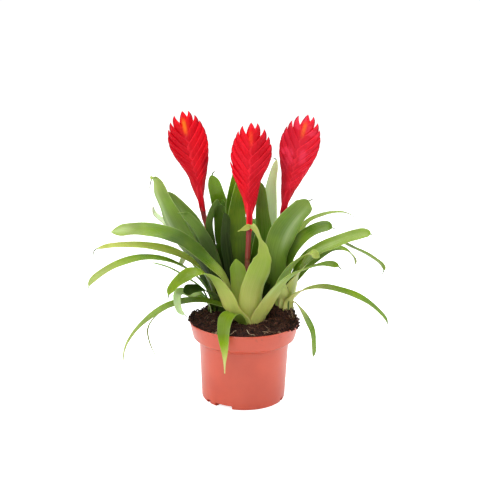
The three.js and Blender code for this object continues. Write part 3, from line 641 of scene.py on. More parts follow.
# %% The front rosette's leaves
LEAVES |= {
    "leaf_front_left": leaf(FRONT, ring=17, angle=225, clasp=46, face=253, width=24, end=0.95,
        roll=-26, lift=2, tone="bright", tones=(0.9, 0.15, 0.05),
        outline=[(0, 1.45), (0.12, 1.35), (0.28, 1.1), (0.45, 0.8), (0.7, 0.6), (0.9, 0.38),
                 (1, 0.1)],
        path=[(-16, -24, 107), (-20, -26, 120), (-26, -28, 133), (-35, -30, 145), (-46, -33, 152),
              (-59, -36, 152), (-72, -38, 144), (-80, -40, 134), (-83, -40, 122)]),
    "leaf_front_horizontal": leaf(FRONT, ring=13.5, angle=188, clasp=37, width=19, end=0.99,
        roll=-45, tone="mid", tones=(0.8, -0.5, 0.35), sheen=(0, 0.6, 0.84, 1.1, 0.5),
        outline=[(0, 1.5), (0.25, 1), (0.45, 0.9), (0.7, 1), (0.92, 0.85), (1, 0.7)],
        path=[(-14, -13, 119), (-25, -13, 143), (-40, -11, 158), (-55, -8, 172), (-72, -5, 183),
              (-91, -2, 189), (-116, 0, 192), (-150, 2, 188)]),
    "leaf_front_hanging": leaf(FRONT, ring=20, angle=240, clasp=20, width=17, end=0.99, lift=3,
        tone="bright", tones=(-0.35, -0.4, 0.9), sheen=(0, 1, 0.75, 1.2, 0.5),
        outline=[(0, 1), (0.4, 1.05), (0.55, 0.9), (0.95, 0.12)],
        path=[(-12, -37, 108), (-19, -51, 107), (-21, -64, 96), (-20, -70, 78), (-20, -70, 65),
              (-20, -68, 51)]),
    "leaf_front_long_low": leaf(FRONT, ring=20, angle=174, clasp=9, width=14, end=0.98, roll=-22,
        narrow_from=0.5, narrow_to=0.4, lift=10, tone="mid", tones=(0.1, 0.15, 0.5),
        path=[(-30, -4, 109), (-43, -7, 113), (-63, -8, 113), (-85, -9, 107), (-105, -10, 94),
              (-122, -10, 77), (-133, -10, 58), (-137, -10, 34)]),
    "leaf_front_inner": leaf(FRONT, ring=7, angle=245, clasp=45, face=260, width=24, end=1,
        tone="bright", tones=(0.6, 0.3, 0),
        outline=[(0, 1), (0.5, 1), (0.85, 0.75), (1, 0.3)],
        path=[(-2, -15, 116), (-5, -14, 133), (-8, -13, 148), (-10, -12, 163)]),
    "leaf_front_main": leaf(FRONT, ring=13.5, angle=288, clasp=47, face=285, width=27, end=0.99,
        tone="bright", tones=(0.8, 0.2, 0.7), sheen=(1, 0.16, 0.1, 0.6, 0.8),
        outline=[(0, 1.15), (0.3, 1), (0.5, 0.97), (0.58, 0.82), (0.66, 0.45), (0.76, 0.15),
                 (0.87, 0.24), (0.92, 0.3), (1, 0.06)],
        path=[(7, -24, 112), (8, -25, 129), (13, -28, 146), (18, -29, 161), (20, -29, 171),
              (19, -28, 180), (16.5, -28, 187), (14, -27, 193), (11, -26, 199), (6, -26, 204),
              (0, -26, 201), (-9, -27, 197)]),
    "leaf_front_right": leaf(FRONT, ring=17, angle=318, clasp=45, face=292, width=24, end=0.95,
        roll=30, lift=3, tone="bright", tones=(0.85, 0, -0.3), sheen=(-0.75, 0.25, 0.2, 0.6, 0.4),
        outline=[(0, 1.2), (0.2, 1.1), (0.45, 0.9), (0.7, 0.6), (0.95, 0.35)],
        path=[(24, -20, 108), (31, -22, 122), (41, -25, 138), (55, -27, 151), (73, -27, 159),
              (89, -26, 162), (99, -26, 161), (106, -26, 155)]),
    "leaf_front_back_light": leaf(FRONT, ring=13.5, angle=110, clasp=29, face=100, width=20,
        end=1, tone="mid", tones=(-1, -0.45, 0.05),
        path=[(-7, 14, 153), (-12, 19, 189), (-13, 22, 222), (-8, 26, 250), (-1, 28, 275)]),
    "leaf_front_back_dark": leaf(FRONT, ring=7, angle=122, clasp=42, face=100, width=21, end=1,
        tone="mid", tones=(-1, -0.6, 0),
        path=[(-6, 3, 152), (-8, 7, 180), (-10, 11, 207), (-6, 14, 235), (1, 16, 257)]),
    "leaf_front_back_right": leaf(FRONT, ring=13.5, angle=38, clasp=34, face=75, width=26, end=1,
        tone="dark", tones=(-0.9, 0, 0.25),
        outline=[(0, 1.4), (0.25, 1.35), (0.42, 1), (0.95, 0.5)],
        path=[(18, 16, 150), (21, 18, 185), (19, 20, 208), (17, 22, 229), (15, 23, 243)]),
    "leaf_front_inner_left": leaf(FRONT, ring=10, angle=160, clasp=36, face=235, width=15,
        end=0.97, tone="dark", tones=(-1, -1, -0.8),
        path=[(-14, -3, 130), (-20, -1, 160), (-23, 0, 187), (-22, -1, 209), (-26, -2, 215)]),
    "leaf_front_back": leaf(FRONT, ring=17, angle=85, clasp=28, width=22, end=0.96, tone="dark",
        tones=(-1, -0.3, 0.2),
        path=[(6, 26, 146), (8, 52, 178), (8, 85, 188), (6, 112, 174)]),
}
print(len(LEAVES), "leaves so far")

# %% The right rosette's leaves
LEAVES |= {
    "leaf_right_glossy": leaf(RIGHT, ring=7, angle=245, clasp=35, face=285, width=32, end=0.95,
        tone="mid", tones=(-0.5, -0.2, 0.15), sheen=(0.35, 0.32, 0.45, 0.97, 0.4),
        outline=[(0, 0.7), (0.15, 0.75), (0.4, 0.8), (0.62, 1), (0.95, 0.72)],
        path=[(33.5, -5, 142), (34, -6, 160), (37, -6, 177), (43, -4, 193), (54, -2, 209),
              (64, 0, 220), (69, 2, 226), (76, 3, 229)]),
    "leaf_right_broad": leaf(RIGHT, ring=5, angle=-15, clasp=50, width=20, end=0.95, roll=45,
        tone="mid", tones=(-0.5, -0.3, 0.1),
        outline=[(0, 0.7), (0.22, 0.9), (0.42, 1.2), (0.6, 1), (0.95, 0.75)],
        path=[(45, 11, 136), (50, 11, 159), (61, 11, 179), (76, 11, 191), (91, 11, 196),
              (98, 11, 194), (103, 11, 195)]),
    "leaf_right_level": leaf(RIGHT, ring=9, angle=-48, clasp=22, face=-30, width=21, end=0.98,
        roll=38, tone="mid", tones=(1, 0.15, 0.2), sheen=(0, 0.5, 0.35, 0.8, 0.3),
        outline=[(0, 1), (0.2, 1.2), (0.45, 1.1), (0.76, 0.95), (0.95, 0.8)],
        path=[(55, 5, 130), (65, 1, 152), (79, -2, 170), (100, -4, 181), (121, -4, 189),
              (134, -4, 192), (140, -4, 190)]),
    "leaf_right_far_thin": leaf(RIGHT, ring=11, angle=42, clasp=20, width=13, end=0.96,
        tone="mid", tones=(0.1, 0, 0.2),
        path=[(57, 26, 135), (74, 22, 163), (104, 18, 176), (123, 15, 170), (142, 12, 161),
              (156, 12, 149), (154, 12, 139)]),
    "leaf_right_hook": leaf(RIGHT, ring=9, angle=28, clasp=22, width=14, end=0.97, roll=15,
        tone="mid", tones=(0.1, 0.1, 0.3),
        path=[(57, 20, 130), (76, 14, 156), (97, 8, 171), (113, 4, 170), (122, 3, 160),
              (122, 3, 151)]),
    "leaf_right_pale_curl": leaf(RIGHT, ring=9, angle=274, clasp=26, face=300, width=21, end=1,
        roll=24, tone="mid", tones=(1, 0.15, 0.6), sheen=(-0.7, 0.3, 0.3, 0.8, 0.5),
        outline=[(0, 0.8), (0.25, 0.85), (0.5, 1), (0.8, 0.8), (1, 0.45)],
        path=[(40, -12, 130), (46, -13, 145), (54, -14, 158), (64, -15, 167), (73, -16, 171),
              (81, -16, 167)]),
    "leaf_right_long_low": leaf(RIGHT, ring=11, angle=320, clasp=20, face=350, width=16, end=0.98,
        roll=12, tone="bright", tones=(0.9, 0, -0.1),
        outline=[(0, 1.2), (0.15, 1), (0.4, 0.85), (0.6, 0.9), (0.95, 0.5)],
        path=[(54, 2, 115), (65, 1, 124), (86, -1, 129), (110, -3, 125), (131, -4, 117),
              (146, -6, 107), (159, -6, 93), (161, -6, 85)]),
    "leaf_right_hanging": leaf(RIGHT, ring=11, angle=0, clasp=15, width=11, end=0.97, lift=2,
        roll=35, tone="mid", tones=(0.8, 0, 0.1),
        path=[(57, 12, 107), (64, 9, 99), (71, 6, 88), (77, 5, 75), (79, 4, 59), (80, 4, 43)]),
    "leaf_right_back_arch": leaf(RIGHT, ring=7, angle=75, clasp=36, face=30, width=10, end=0.94,
        tone="mid", tones=(0, 0.2, 0.3),
        path=[(46, 27, 134), (54, 34, 162), (69, 36, 194), (87, 35, 204), (107, 33, 208),
              (120, 31, 205), (127, 30, 197)]),
    "leaf_right_back_hidden": leaf(RIGHT, ring=9, angle=108, clasp=32, face=60, width=14,
        end=0.95, tone="dark", tones=(-1, -0.2, 0.1),
        outline=[(0, 1.6), (0.3, 1.7), (0.6, 1), (0.95, 0.75)],
        path=[(36, 34, 135), (43, 42, 165), (54, 45, 191), (66, 44, 207), (73, 42, 212),
              (77, 42, 208)]),
    "leaf_right_upright_pale": leaf(RIGHT, ring=5, angle=130, clasp=45, face=110, width=20,
        end=0.97, tone="pale", tones=(-0.6, 0.75, 0.8),
        outline=[(0, 1.2), (0.4, 1), (0.62, 0.95), (0.97, 0.4)],
        path=[(36, 20, 136), (30, 24, 158), (27, 27, 183), (26, 29, 206), (27, 31, 228),
              (29, 32, 246), (32, 33, 260), (33, 32, 267), (29, 30, 269)]),
    "leaf_right_back": leaf(RIGHT, ring=11, angle=82, clasp=15, width=15, end=0.96, tone="dark",
        tones=(-0.8, -0.2, 0.2),
        path=[(48, 46, 138), (54, 75, 161), (62, 105, 160), (68, 122, 144)]),
    "leaf_right_back_inner": leaf(RIGHT, ring=11, angle=125, clasp=20, width=15, end=0.96,
        tone="mid", tones=(-0.8, -0.2, 0.2),
        path=[(31, 48, 140), (32, 80, 170), (34, 112, 172), (36, 134, 156)]),
}
print(len(LEAVES), "leaves in all")

# %% [markdown]
# Now the formula. At each station along the keel there is an arc, and the arc's radius is the
# blade's width there over its angle, so the blade can open from a clasping sheath to a shallow
# dish and keep its width. Rows of points crowd where the tip closes. The last rows are the drip
# tip, a thread that dries and curls. Modelling one leaf by hand and bending copies of it would
# be quicker, but every copy would close and taper in the same way.

# %% The measures of a blade
BLADE = dict(
    half=0.4, rim=0.3,                  # half the thickness, and the share of it at the margin
    cup=24, close_from=0.92,            # half angle of the open dish, and where it starts to close
    thread=1.5, least_foot=0.6,         # width of the drip tip, least share of width at the foot
    tuck=0.9,                           # how far one margin of the sheath laps inside the other
    columns=13, rows=78, cap_rows=16, tip_rows=8)
wobble = np.random.default_rng(11)


def eased(x, stops):
    """Goes from stop to stop, each a place and a value, gently at both ends of every step."""
    place, value = np.array(stops, float).T
    k = np.clip(np.searchsorted(place, x, side="right") - 1, 0, len(place) - 2)
    return lerp(value[k], value[k + 1], smoothstep(x, place[k], place[k + 1]))


def stations(end):
    """The shares of the keel's length where the rows lie: even along the blade, crowding as a
    sine where it closes, and even again along the drip tip."""
    cap = np.sin(np.linspace(0, np.pi / 2, BLADE["cap_rows"]))[1:]
    from_here = BLADE["close_from"]
    share = np.r_[np.linspace(0, from_here, BLADE["rows"]) * end, lerp(from_here, 1, cap) * end]
    if end < 1:
        share = np.r_[share, np.linspace(end, 1, BLADE["tip_rows"])[1:]]
    return share


def margins():
    """Once around the blade: the place across, from -1 at one margin to 1 at the other and back,
    closer together by the margins, and 1 on the outer skin and -1 on the inner one."""
    columns = BLADE["columns"]
    cross = -np.cos(np.linspace(0, np.pi, columns)) * 0.35 + np.linspace(-1, 1, columns) * 0.65
    return np.r_[cross, cross[::-1]], np.r_[np.ones(columns), -np.ones(columns)]


def arc_directions(along, share, angle, face, roll):
    """The side and inward directions of each arc: level and across the way that the leaf faces
    there, made square to the keel, and then turned about the keel by the roll."""
    facing = on_plan(lerp(angle, face, smoothstep(share, 0.05, 0.5)))
    side = np.cross(facing, (0, 0, 1))
    side = unit(side - along * (side * along).sum(1, keepdims=True))
    turn = np.radians(roll) * smoothstep(share, 0.12, 0.55)[:, None]
    side = side * np.cos(turn) + np.cross(along, side) * np.sin(turn)
    return side, np.cross(side, along)


def shine(share, cross, sheen):
    """A painted highlight: a bell across the blade, times a smooth rise and fall along it."""
    middle, spread, low, high, strength = sheen
    band = np.exp(-((cross - middle) / spread) ** 2) * strength
    fade = smoothstep(share, low, lerp(low, high, 0.4)) \
        * (1 - smoothstep(share, lerp(low, high, 0.6), high))
    return fade[:, None] * band


print("a leaf with a drip tip has", len(stations(0.95)), "rows,", len(margins()[0]), "around")


# %% One leaf as a grid of points
def leaf_grid(rosette, path, ring, angle, clasp, face, roll, width, end, lift, narrow_from,
              narrow_to, outline, tone, tones, sheen):
    """The arc at each station: keel + side (r + d) sin a + inward (r - (r + d) cos a), where r
    is the blade width over twice the half angle, a runs from one margin to the other, and d is
    half the thickness on the outer skin and minus half on the inner skin. The margins wave as a
    sine along the leaf that grows with the third power of the place across."""
    at = np.array(rosette, float)
    root = on_plan(angle) * ring + at - (0, 0, SOCKET_DEPTH - FOOT_GAP)
    collar = on_plan(angle) * (ring + COLLAR) + at + (0, 0, lift)
    keel = curve_through([root, collar, *path])
    share = stations(end)
    at, along, length = walk(keel, share)
    side, inward = arc_directions(along, share, angle, face, roll)
    close = np.clip((share / end - BLADE["close_from"]) / (1 - BLADE["close_from"]), 0, 1)
    close = (1 - close ** 2) ** 0.62
    foot = max(2 * ring * np.radians(clasp) / width, BLADE["least_foot"])
    outline = outline or [(0, foot), (0.4, 1), (narrow_from + 0.01, 1), (0.95, narrow_to)]
    blade = width * eased(share, outline) * close
    thin = smoothstep(share, end, 1) if end < 1 else share * 0
    blade = np.maximum(blade, BLADE["thread"] * lerp(1, 0.35, thin))
    half = np.radians(lerp(clasp, BLADE["cup"], smoothstep(share, 0, 0.35)))
    half = (half * np.maximum(close, 0.2))[:, None]
    bend = blade[:, None] / (2 * half)
    cross, outer = margins()
    thick = BLADE["half"] * lerp(BLADE["rim"], 1, np.sqrt(1 - np.abs(cross) ** 5))
    thick = thick * np.minimum(1, blade[:, None] / 4)
    waves, phase = length / wobble.uniform(28, 44), wobble.uniform(0, 6)
    wave = np.sin(2 * np.pi * waves * share + phase)[:, None] * np.abs(cross) ** 3
    wave = wave * np.sign(cross) * smoothstep(share, 0.2, 0.5)[:, None] * blade[:, None] / 60
    tuck = BLADE["tuck"] * cross * (1 - smoothstep(share, 0.12, 0.4))[:, None]
    reach = bend + outer * thick + wave + tuck
    a = -half * cross
    points = (at[:, None] + side[:, None] * (reach * np.sin(a))[..., None]
              + inward[:, None] * (bend - reach * np.cos(a))[..., None])
    ones = np.ones_like(reach)
    # light is painted shade below zero; above zero it is the pale sheath at the foot and a painted
    # glare further out.
    light = eased(share, [(0, tones[0]), (0.22, tones[0]), (0.55, tones[1]), (0.92, tones[2])])
    dry = smoothstep(share, end - 0.004, end + 0.012) if end < 1 else share * 0
    # The gloss values are a painted highlight along the blade.
    values = dict(painted_highlight=shine(share, cross, sheen), under=(outer > 0) * ones,
                  light=light[:, None] * ones, dry=dry[:, None] * ones,
                  tint=ones * wobble.uniform(-0.15, 0.15))
    uv = np.stack([(0.5 + 0.5 * cross) * ones, share[:, None] * ones * length / 100], -1)
    return points, values, uv


print("each leaf is", 2 * BLADE["columns"], "points around")

# %% Make the leaves
total = 0
for name, shape in LEAVES.items():
    grid, values, uv = leaf_grid(**shape)
    points, faces = tubes(grid[None])
    piece = make_piece(name + "_blade", points, faces, values, uv.reshape(-1, 2))
    piece.data.materials.append(leaf_skins[shape["tone"]])
    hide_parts(name)
    total += len(faces)
print(len(LEAVES), "leaves,", total, "faces")

# %% [markdown]
# ## The stalks
# Each rosette sends up one stalk. It is green-brown where the leaves shade it and turns red
# towards the sword, and short scale leaves clasp it, each with a slanted mouth and a point that
# lies against the stalk. The stalk is a circle swept upwards that swells into the neck of the
# sword. A scale leaf is a thin sleeve whose height changes around the stalk, so the same sweep
# makes it: outer wall up, over the slanted mouth, and down the inner wall.

# %% The line of each stalk
STEM = dict(radius=2.4, neck=3.6, swell_from=0.7, straight=8)     # straight for 8 mm at the foot
SWORD_LENGTH, SWORD_GAP = 88, 0.3       # mm, and the gap at each end of the sword's own line
CORE_TOP = 0.7                          # the hidden core ends at this share of the sword
STALKS = {
    "left": (LEFT, [(-29, 31, 141), (-38, 34, 170), (-48, 36, 203), (-54, 32, 240), (-63, 26, 280),
                    (-71, 20, 321)]),
    "middle": (FRONT, [(2, -7, 126), (3, -8, 172), (4, -10, 210), (3, -12, 240), (5, -14, 283),
                       (3, -16, 313)]),
    "right": (RIGHT, [(38, 14, 144), (37, 15, 179), (42, 16, 213), (47, 15, 236), (56, 12, 278),
                      (66, 10, 320)]),
}


def stalk_line(which):
    """The curve from the socket in the soil to the top of the sword, and the share of its
    length where the sword begins."""
    rosette, path = STALKS[which]
    at = np.array(rosette, float)
    foot, collar = at - (0, 0, SOCKET_DEPTH - FOOT_GAP), at + (0, 0, STEM["straight"])
    line = curve_through([foot, collar, *path])
    return line, 1 - (SWORD_LENGTH + 2 * SWORD_GAP) / walk(line, [0])[2]


def frame_at(line, share):
    """The point, and the three directions there: along the stalk, across the sword, and out of
    its broad face towards the front."""
    at, along, _ = walk(line, np.atleast_1d(share))
    across = unit(np.array([1, 0, 0]) - along * along[:, :1])
    return at, along, across, np.cross(across, along)


for which in STALKS:
    line, neck = stalk_line(which)
    print(which, "stalk:", round(walk(line, [0])[2] * neck), "mm up to its sword")


# %% Sweeps for a stalk and a scale leaf
def round_sweep(line, share, radius, cols=20):
    """A circle of the given radius at each share of the line. radius may change around."""
    at, along, across, out = frame_at(line, share)
    turn = np.linspace(0, 2 * np.pi, cols, endpoint=False)
    radius = np.broadcast_to(radius, (len(at), cols))[..., None]
    return (at[:, None] + across[:, None] * np.cos(turn)[:, None] * radius
            + out[:, None] * np.sin(turn)[:, None] * radius)


def scale_leaf(line, low, high, radius, faces_to, cols=24, rows=14):
    """A sleeve from share low up to a slanted mouth. Its height around the stalk falls from
    high, where it faces, as the fourth power of the cosine of half the angle, and the point
    leans out a little. Rows run up the outer wall and back down the inner one."""
    turn = np.linspace(0, 2 * np.pi, cols, endpoint=False)
    tall = np.cos((turn - np.radians(faces_to)) / 2) ** 4
    up = np.r_[np.linspace(0, 1, rows), np.linspace(1, 0, rows)][:, None]
    share = lerp(low, lerp(lerp(low, high, 0.45), high, tall), up)
    wall = np.r_[np.ones(rows), np.zeros(rows)][:, None] * 0.32 * lerp(1, 0.5, up)
    lean = 0.5 * tall * smoothstep(up, 0.75, 1)
    reach = radius(share) + 0.12 + wall + lean - 0.5 * (1 - smoothstep(up, 0, 0.1))
    at, along, across, out = (part.reshape(2 * rows, cols, 3)
                              for part in frame_at(line, share.ravel()))
    return (at + across * (np.cos(turn) * reach)[..., None]
            + out * (np.sin(turn) * reach)[..., None]), share, up * np.ones(cols)


def stem_radius(share, neck):
    """2.4 mm up to seven tenths of the way, swelling smoothly to 3.6 mm at the neck, and then
    thinning again as the hidden core of the sword."""
    core = smoothstep(share, neck, lerp(neck, 1, CORE_TOP))
    swell = smoothstep(share / neck, STEM["swell_from"], 1)
    return lerp(STEM["radius"], STEM["neck"], swell) * lerp(1, 0.4, core)


print("a stalk is", round(2 * float(stem_radius(0.1, 0.7)), 1), "mm thick low down and",
      round(2 * float(stem_radius(0.7, 0.7)), 1), "mm at its neck")

# %% Make the stalks and their scale leaves
SCALE_LEAVES = [(0.30, 0.52, 40), (0.42, 0.66, 250), (0.55, 0.80, 120), (0.67, 0.92, 300),
                (0.80, 1.03, 200)]        # from, to, facing angle; shares of the bare stalk
stalk_pieces, scale_pieces = {}, {}
for which in STALKS:
    line, neck = stalk_line(which)
    share = np.linspace(0, lerp(neck, 1, CORE_TOP), 80)
    grid = round_sweep(line, share, stem_radius(share, neck)[:, None])
    points, faces = tubes(grid[None])
    values = dict(along=np.repeat(share / neck, grid.shape[1]), tint=np.zeros(len(points)))
    around = np.tile(np.linspace(0, 1, grid.shape[1], endpoint=False), len(share))
    uv = np.stack([around, values["along"] * 2], -1)
    stalk_pieces[which] = make_piece(which + "_stalk", points, faces, values, uv)
    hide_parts("stem_" + which)
    sleeves, heights, ups = zip(*(
        scale_leaf(line, low * neck, high * neck, lambda s: stem_radius(s, neck), facing)
        for low, high, facing in SCALE_LEAVES))
    sleeves = np.stack(sleeves)
    points, faces = tubes(sleeves)
    values = dict(along=np.stack(heights) / neck, up=np.stack(ups),
                  tint=np.zeros(len(points)))
    around = np.broadcast_to(np.linspace(0, 1, sleeves.shape[2], endpoint=False),
                             sleeves.shape[:3])
    uv = np.stack([around, np.stack(ups)], -1).reshape(-1, 2)
    scale_pieces[which] = make_piece(which + "_scale_leaves", points, faces,
                                     values, uv)
print(len(SCALE_LEAVES), "scale leaves on each of", len(STALKS), "stalks")

# %% [markdown]
# The stalk's colour follows its height: brown-green low down, then a dull brick red, then the
# red of the sword. A ramp along the stalk gives that, with lengthwise lines over it.

# %% Stalk and scale leaf materials
def stalk_skin(name, low, middle, high, rim):
    """Three colours up the stalk, streaked lengthwise, with a darker dry rim on scale leaves."""
    skin = bpy.data.materials.new(name)
    skin.use_nodes = True
    tree = skin.node_tree
    shader = tree.nodes["Principled BSDF"]
    lines = use(tree, veins, Count=9.0, Wander=0.5, Stretch=1.2)
    skins = use(tree, clouds, Clouds=60.0, Grain=1500.0)
    along = calc(tree, "ADD", read(tree, "along"),
                 calc(tree, "MULTIPLY", calc(tree, "SUBTRACT", lines["Streak"], 0.5), 0.12))
    colour = blend(tree, ramp(tree, along, 0.35, 0.68), paint(low), paint(middle))
    colour = blend(tree, ramp(tree, along, 0.66, 0.92), colour, paint(high))
    colour = blend(tree, calc(tree, "MULTIPLY", lines["Line"], 0.3), colour, paint(rim))
    dry = ramp(tree, read(tree, "up"), 0.82, 1.0, 0.0, 0.7)
    colour = blend(tree, dry, colour, paint(rim))
    tree.links.new(colour, shader.inputs["Base Color"])
    tree.links.new(calc(tree, "ADD", calc(tree, "MULTIPLY", skins["Grain"], 0.15), 0.36),
                   shader.inputs["Roughness"])
    bump = add(tree, "Bump", {"Height": lines["Line"], "Strength": 0.4, "Distance": 0.0002})
    tree.links.new(bump.outputs[0], shader.inputs["Normal"])
    return skin


stalk_red = stalk_skin("stalk_skin", "#6E6A30", "#8A3826", "#AE1826", "#5A1418")
scale_red = stalk_skin("scale_leaf_skin", "#7A5A32", "#943028", "#B81424", "#641420")
for which in STALKS:
    stalk_pieces[which].data.materials.append(stalk_red)
    scale_pieces[which].data.materials.append(scale_red)
print("stalk materials:", stalk_red.name, scale_red.name)

# %% [markdown]
# ## The swords
# The sword is a flat spike: twenty folded bracts sit alternately left and right, each with its
# root on the hidden core and its pointed tip standing free at the edge, and a closed bud fills
# the top. A lower bract lies over the root of the next one above, like tiles laid upwards, and
# that is what draws the chevrons down the middle of the face. It could be one flat shape with a
# painted pattern, but then the light would never catch the free edges.
# So each bract is a pod of its own: a sharp keel on the outside, a thick free edge on the
# inside, and a surface that rises from the sunk root to the free tip.

# %% The outline of a sword
OUTLINE = np.array([(-0.3, 2.6), (-0.2, 3.4), (-0.1, 4.5), (0, 6.2), (0.1, 8.4), (0.21, 11.6),
                    (0.3, 14.6), (0.4, 18), (0.5, 20.4), (0.6, 21.6), (0.7, 21), (0.79, 18.8),
                    (0.87, 15.6), (0.93, 12), (0.97, 8), (1, 5)])
BRACTS = dict(
    count=20, longest=0.42, shortest=0.3,           # lengths as shares of the sword's height
    first_tip=0.12, last_tip=0.985, crowd=1.15,     # heights of the tips
    slant=(46, 30), over=3.5,                       # degrees; how far past the midline, in mm
    blunt=0.4, wedge=1.2, flare=0.075,              # how the free tip starts and widens
    rows=36, cols=17)
BUD = dict(root=0.68, tip=0.995, half=6.2, rank=0.9)
KEEL = [(0, 0.35, 0, 0), (0.3, 1, 0, 1.5), (0.76, 1, 2.5, 6.5),
        (1, 1, 0, 0)]       # share of the way up, share of the outline, and two swells in mm


def outline_at(height):
    """The half width of the sword, in millimetres, at a share of its height. Below zero it
    narrows into the stalk."""
    return np.interp(height, OUTLINE[:, 0], OUTLINE[:, 1])


def bract_keels():
    """Every bract's outer keel in the plane of the sword, in sideways and upward millimetres
    from the height of its root. Tips crowd towards the top, as 1 - (1 - t)^crowd. The keel is
    a cubic Bezier curve that follows the outline and leaves it by the tip."""
    rank = np.linspace(0, 1, BRACTS["count"])[:, None]
    tip = lerp(BRACTS["first_tip"], BRACTS["last_tip"], 1 - (1 - rank) ** BRACTS["crowd"])
    root = tip - lerp(BRACTS["longest"], BRACTS["shortest"], rank)
    up, reach, swell, beyond = np.array(KEEL, float).T[:, None]
    stand_out = lerp(0.96, 1.02, smoothstep(rank, 0.2, 0.6))
    sideways = np.minimum(outline_at(lerp(root, tip, up)) * reach + swell,
                          outline_at(tip) * stand_out + beyond)
    upward = (tip - root) * SWORD_LENGTH * up
    t = np.linspace(0, 1, BRACTS["rows"])
    part = np.stack([(1 - t) ** 3, 3 * t * (1 - t) ** 2, 3 * t ** 2 * (1 - t), t ** 3])
    return rank, root, t, np.stack([sideways @ part, upward @ part], -1)


rank, root, t, line = bract_keels()
print(len(root), "bracts, from", round(float(line[0, -1, 1]), 1), "mm tall at the foot to",
      round(float(line[-1, -1, 1]), 1), "mm at the top")

# %% [markdown]
# The face of a bract is drawn flat first: from the keel it reaches inwards along a slant until
# just past the midline, and near its tip only as far as a narrow wedge allows, so the tip
# stands free. Then the face is raised: a lens over the whole sword makes it thick in the middle,
# and a tilt on each bract lets its free edge stand above the next one.

# %% How far a bract reaches
def bract_depths(line, slant):
    """How far each bract reaches from its keel, along its slant. By the tip it is a wedge that
    widens with the length left and with its square, and low down it stops just past the
    midline."""
    left = line[:, -1:, 1] - line[..., 1]
    free = BRACTS["blunt"] + BRACTS["wedge"] * left + BRACTS["flare"] * left ** 2
    full = np.maximum(line[..., 0] + BRACTS["over"], 1) / np.cos(slant)
    return (full ** -8.0 + free ** -8.0) ** (-1 / 8)


def with_bud(rank, root, t, line, depth, slant):
    """Adds the closed bud at the top: a dome that widens as a square root at its root, and
    closes as one minus the third power of its height. Its slant is nothing."""
    half = 0.15 + BUD["half"] * np.sqrt(np.minimum(3 * t, 1)) * (1 - t ** 3) ** 0.9
    keel = np.stack([half, t * (BUD["tip"] - BUD["root"]) * SWORD_LENGTH], -1)
    return (np.vstack([rank, [[BUD["rank"]]]]), np.vstack([root, [[BUD["root"]]]]),
            np.concatenate([line, keel[None]]), np.vstack([depth, 2 * half]),
            np.append(slant, 0))


depth = bract_depths(line, np.radians(BRACTS["slant"][0]))
print("the widest bract reaches", round(float(depth.max()), 1), "mm from its keel")


# %% How far its face stands out
LENS_RIM, LENS_RISE, THINNEST = 0.4, 3.7, 0.15          # half thickness of the sword, in mm


def face_height(flat, height, along, across, is_bud):
    """How far the face stands out: a lens, as the root of one minus the square of the place
    across the sword, plus a tile that rises from root to tip and from keel to free edge and
    swells in the middle, times a fold that closes the two faces at the keel, as a sine, and on
    the bud at both sides."""
    edge = np.abs(flat[..., 0]) / (outline_at(np.clip(height, -0.3, 1)) + 0.8)
    lens = LENS_RIM + LENS_RISE * np.sqrt(np.clip(1 - edge ** 2, 0, 1)) \
        * lerp(1, 0.7, np.clip(height, 0, 1))
    tile = 1.1 * (along - 0.5) + 0.9 * (across - 0.5) + 0.6 * np.sin(np.pi * across)
    fold = 0.1 + 0.9 * np.sin(np.pi / 2 * np.clip(across / 0.55, 0, 1)) ** 0.8
    fold = fold * (1 - 0.3 * smoothstep(across, 0.96, 1))
    fold = np.where(is_bud, np.maximum(np.sin(np.pi * across), 0) ** 0.5, fold)
    out_by = (lens + tile) * fold * lerp(1, 0.35, smoothstep(along, 0.7, 1))
    return np.maximum(out_by, THINNEST)


print("a sword is a lens", round(2 * (LENS_RIM + LENS_RISE), 1), "mm thick before its bracts tilt")

# %% One sword as a stack of tiled bracts
WAIST = {"left": 0.97, "middle": 0.9, "right": 1.0}     # how full its lower half is
# The darker lower edge is painted shade.
PAINTED_SHADE_SIDE = {"left": 1, "middle": 0, "right": -1.25}          # the side whose lower edge is darker
LIT = {"left": 1, "middle": -1, "right": 0.4}           # the side that gets a purer, lighter red as painted light


def bract_numbers(which, height, sideways, along, across, depth, rank, is_bud):
    """What the material reads at each point: its place on the bract and on the sword, one tint
    for the bract, how far inside the overlap it is, for a painted shade there, and the sides
    with more and less light, for a painted highlight and a painted shade."""
    ones = np.ones_like(height)
    # How far a point lies under the free edge of the bract below, where painted shade goes.
    inside = smoothstep((1 - across) * depth[..., None], 1.2, 7)
    values = dict(along=ones * along, across=ones * across, height=height, sideways=sideways,
                  tint=ones * np.sin(rank[:, :, None] * 37) * 0.5, inside=inside * ~is_bud)
    painted_shade_side = smoothstep(sideways / outline_at(height) * PAINTED_SHADE_SIDE[which], 0.4, 0.95)
    values["painted_shade_side"] = painted_shade_side * (1 - smoothstep(height, 0.28, 0.52))
    values["lit"] = smoothstep(sideways / outline_at(height) * LIT[which], -0.5, 0.7)
    return values


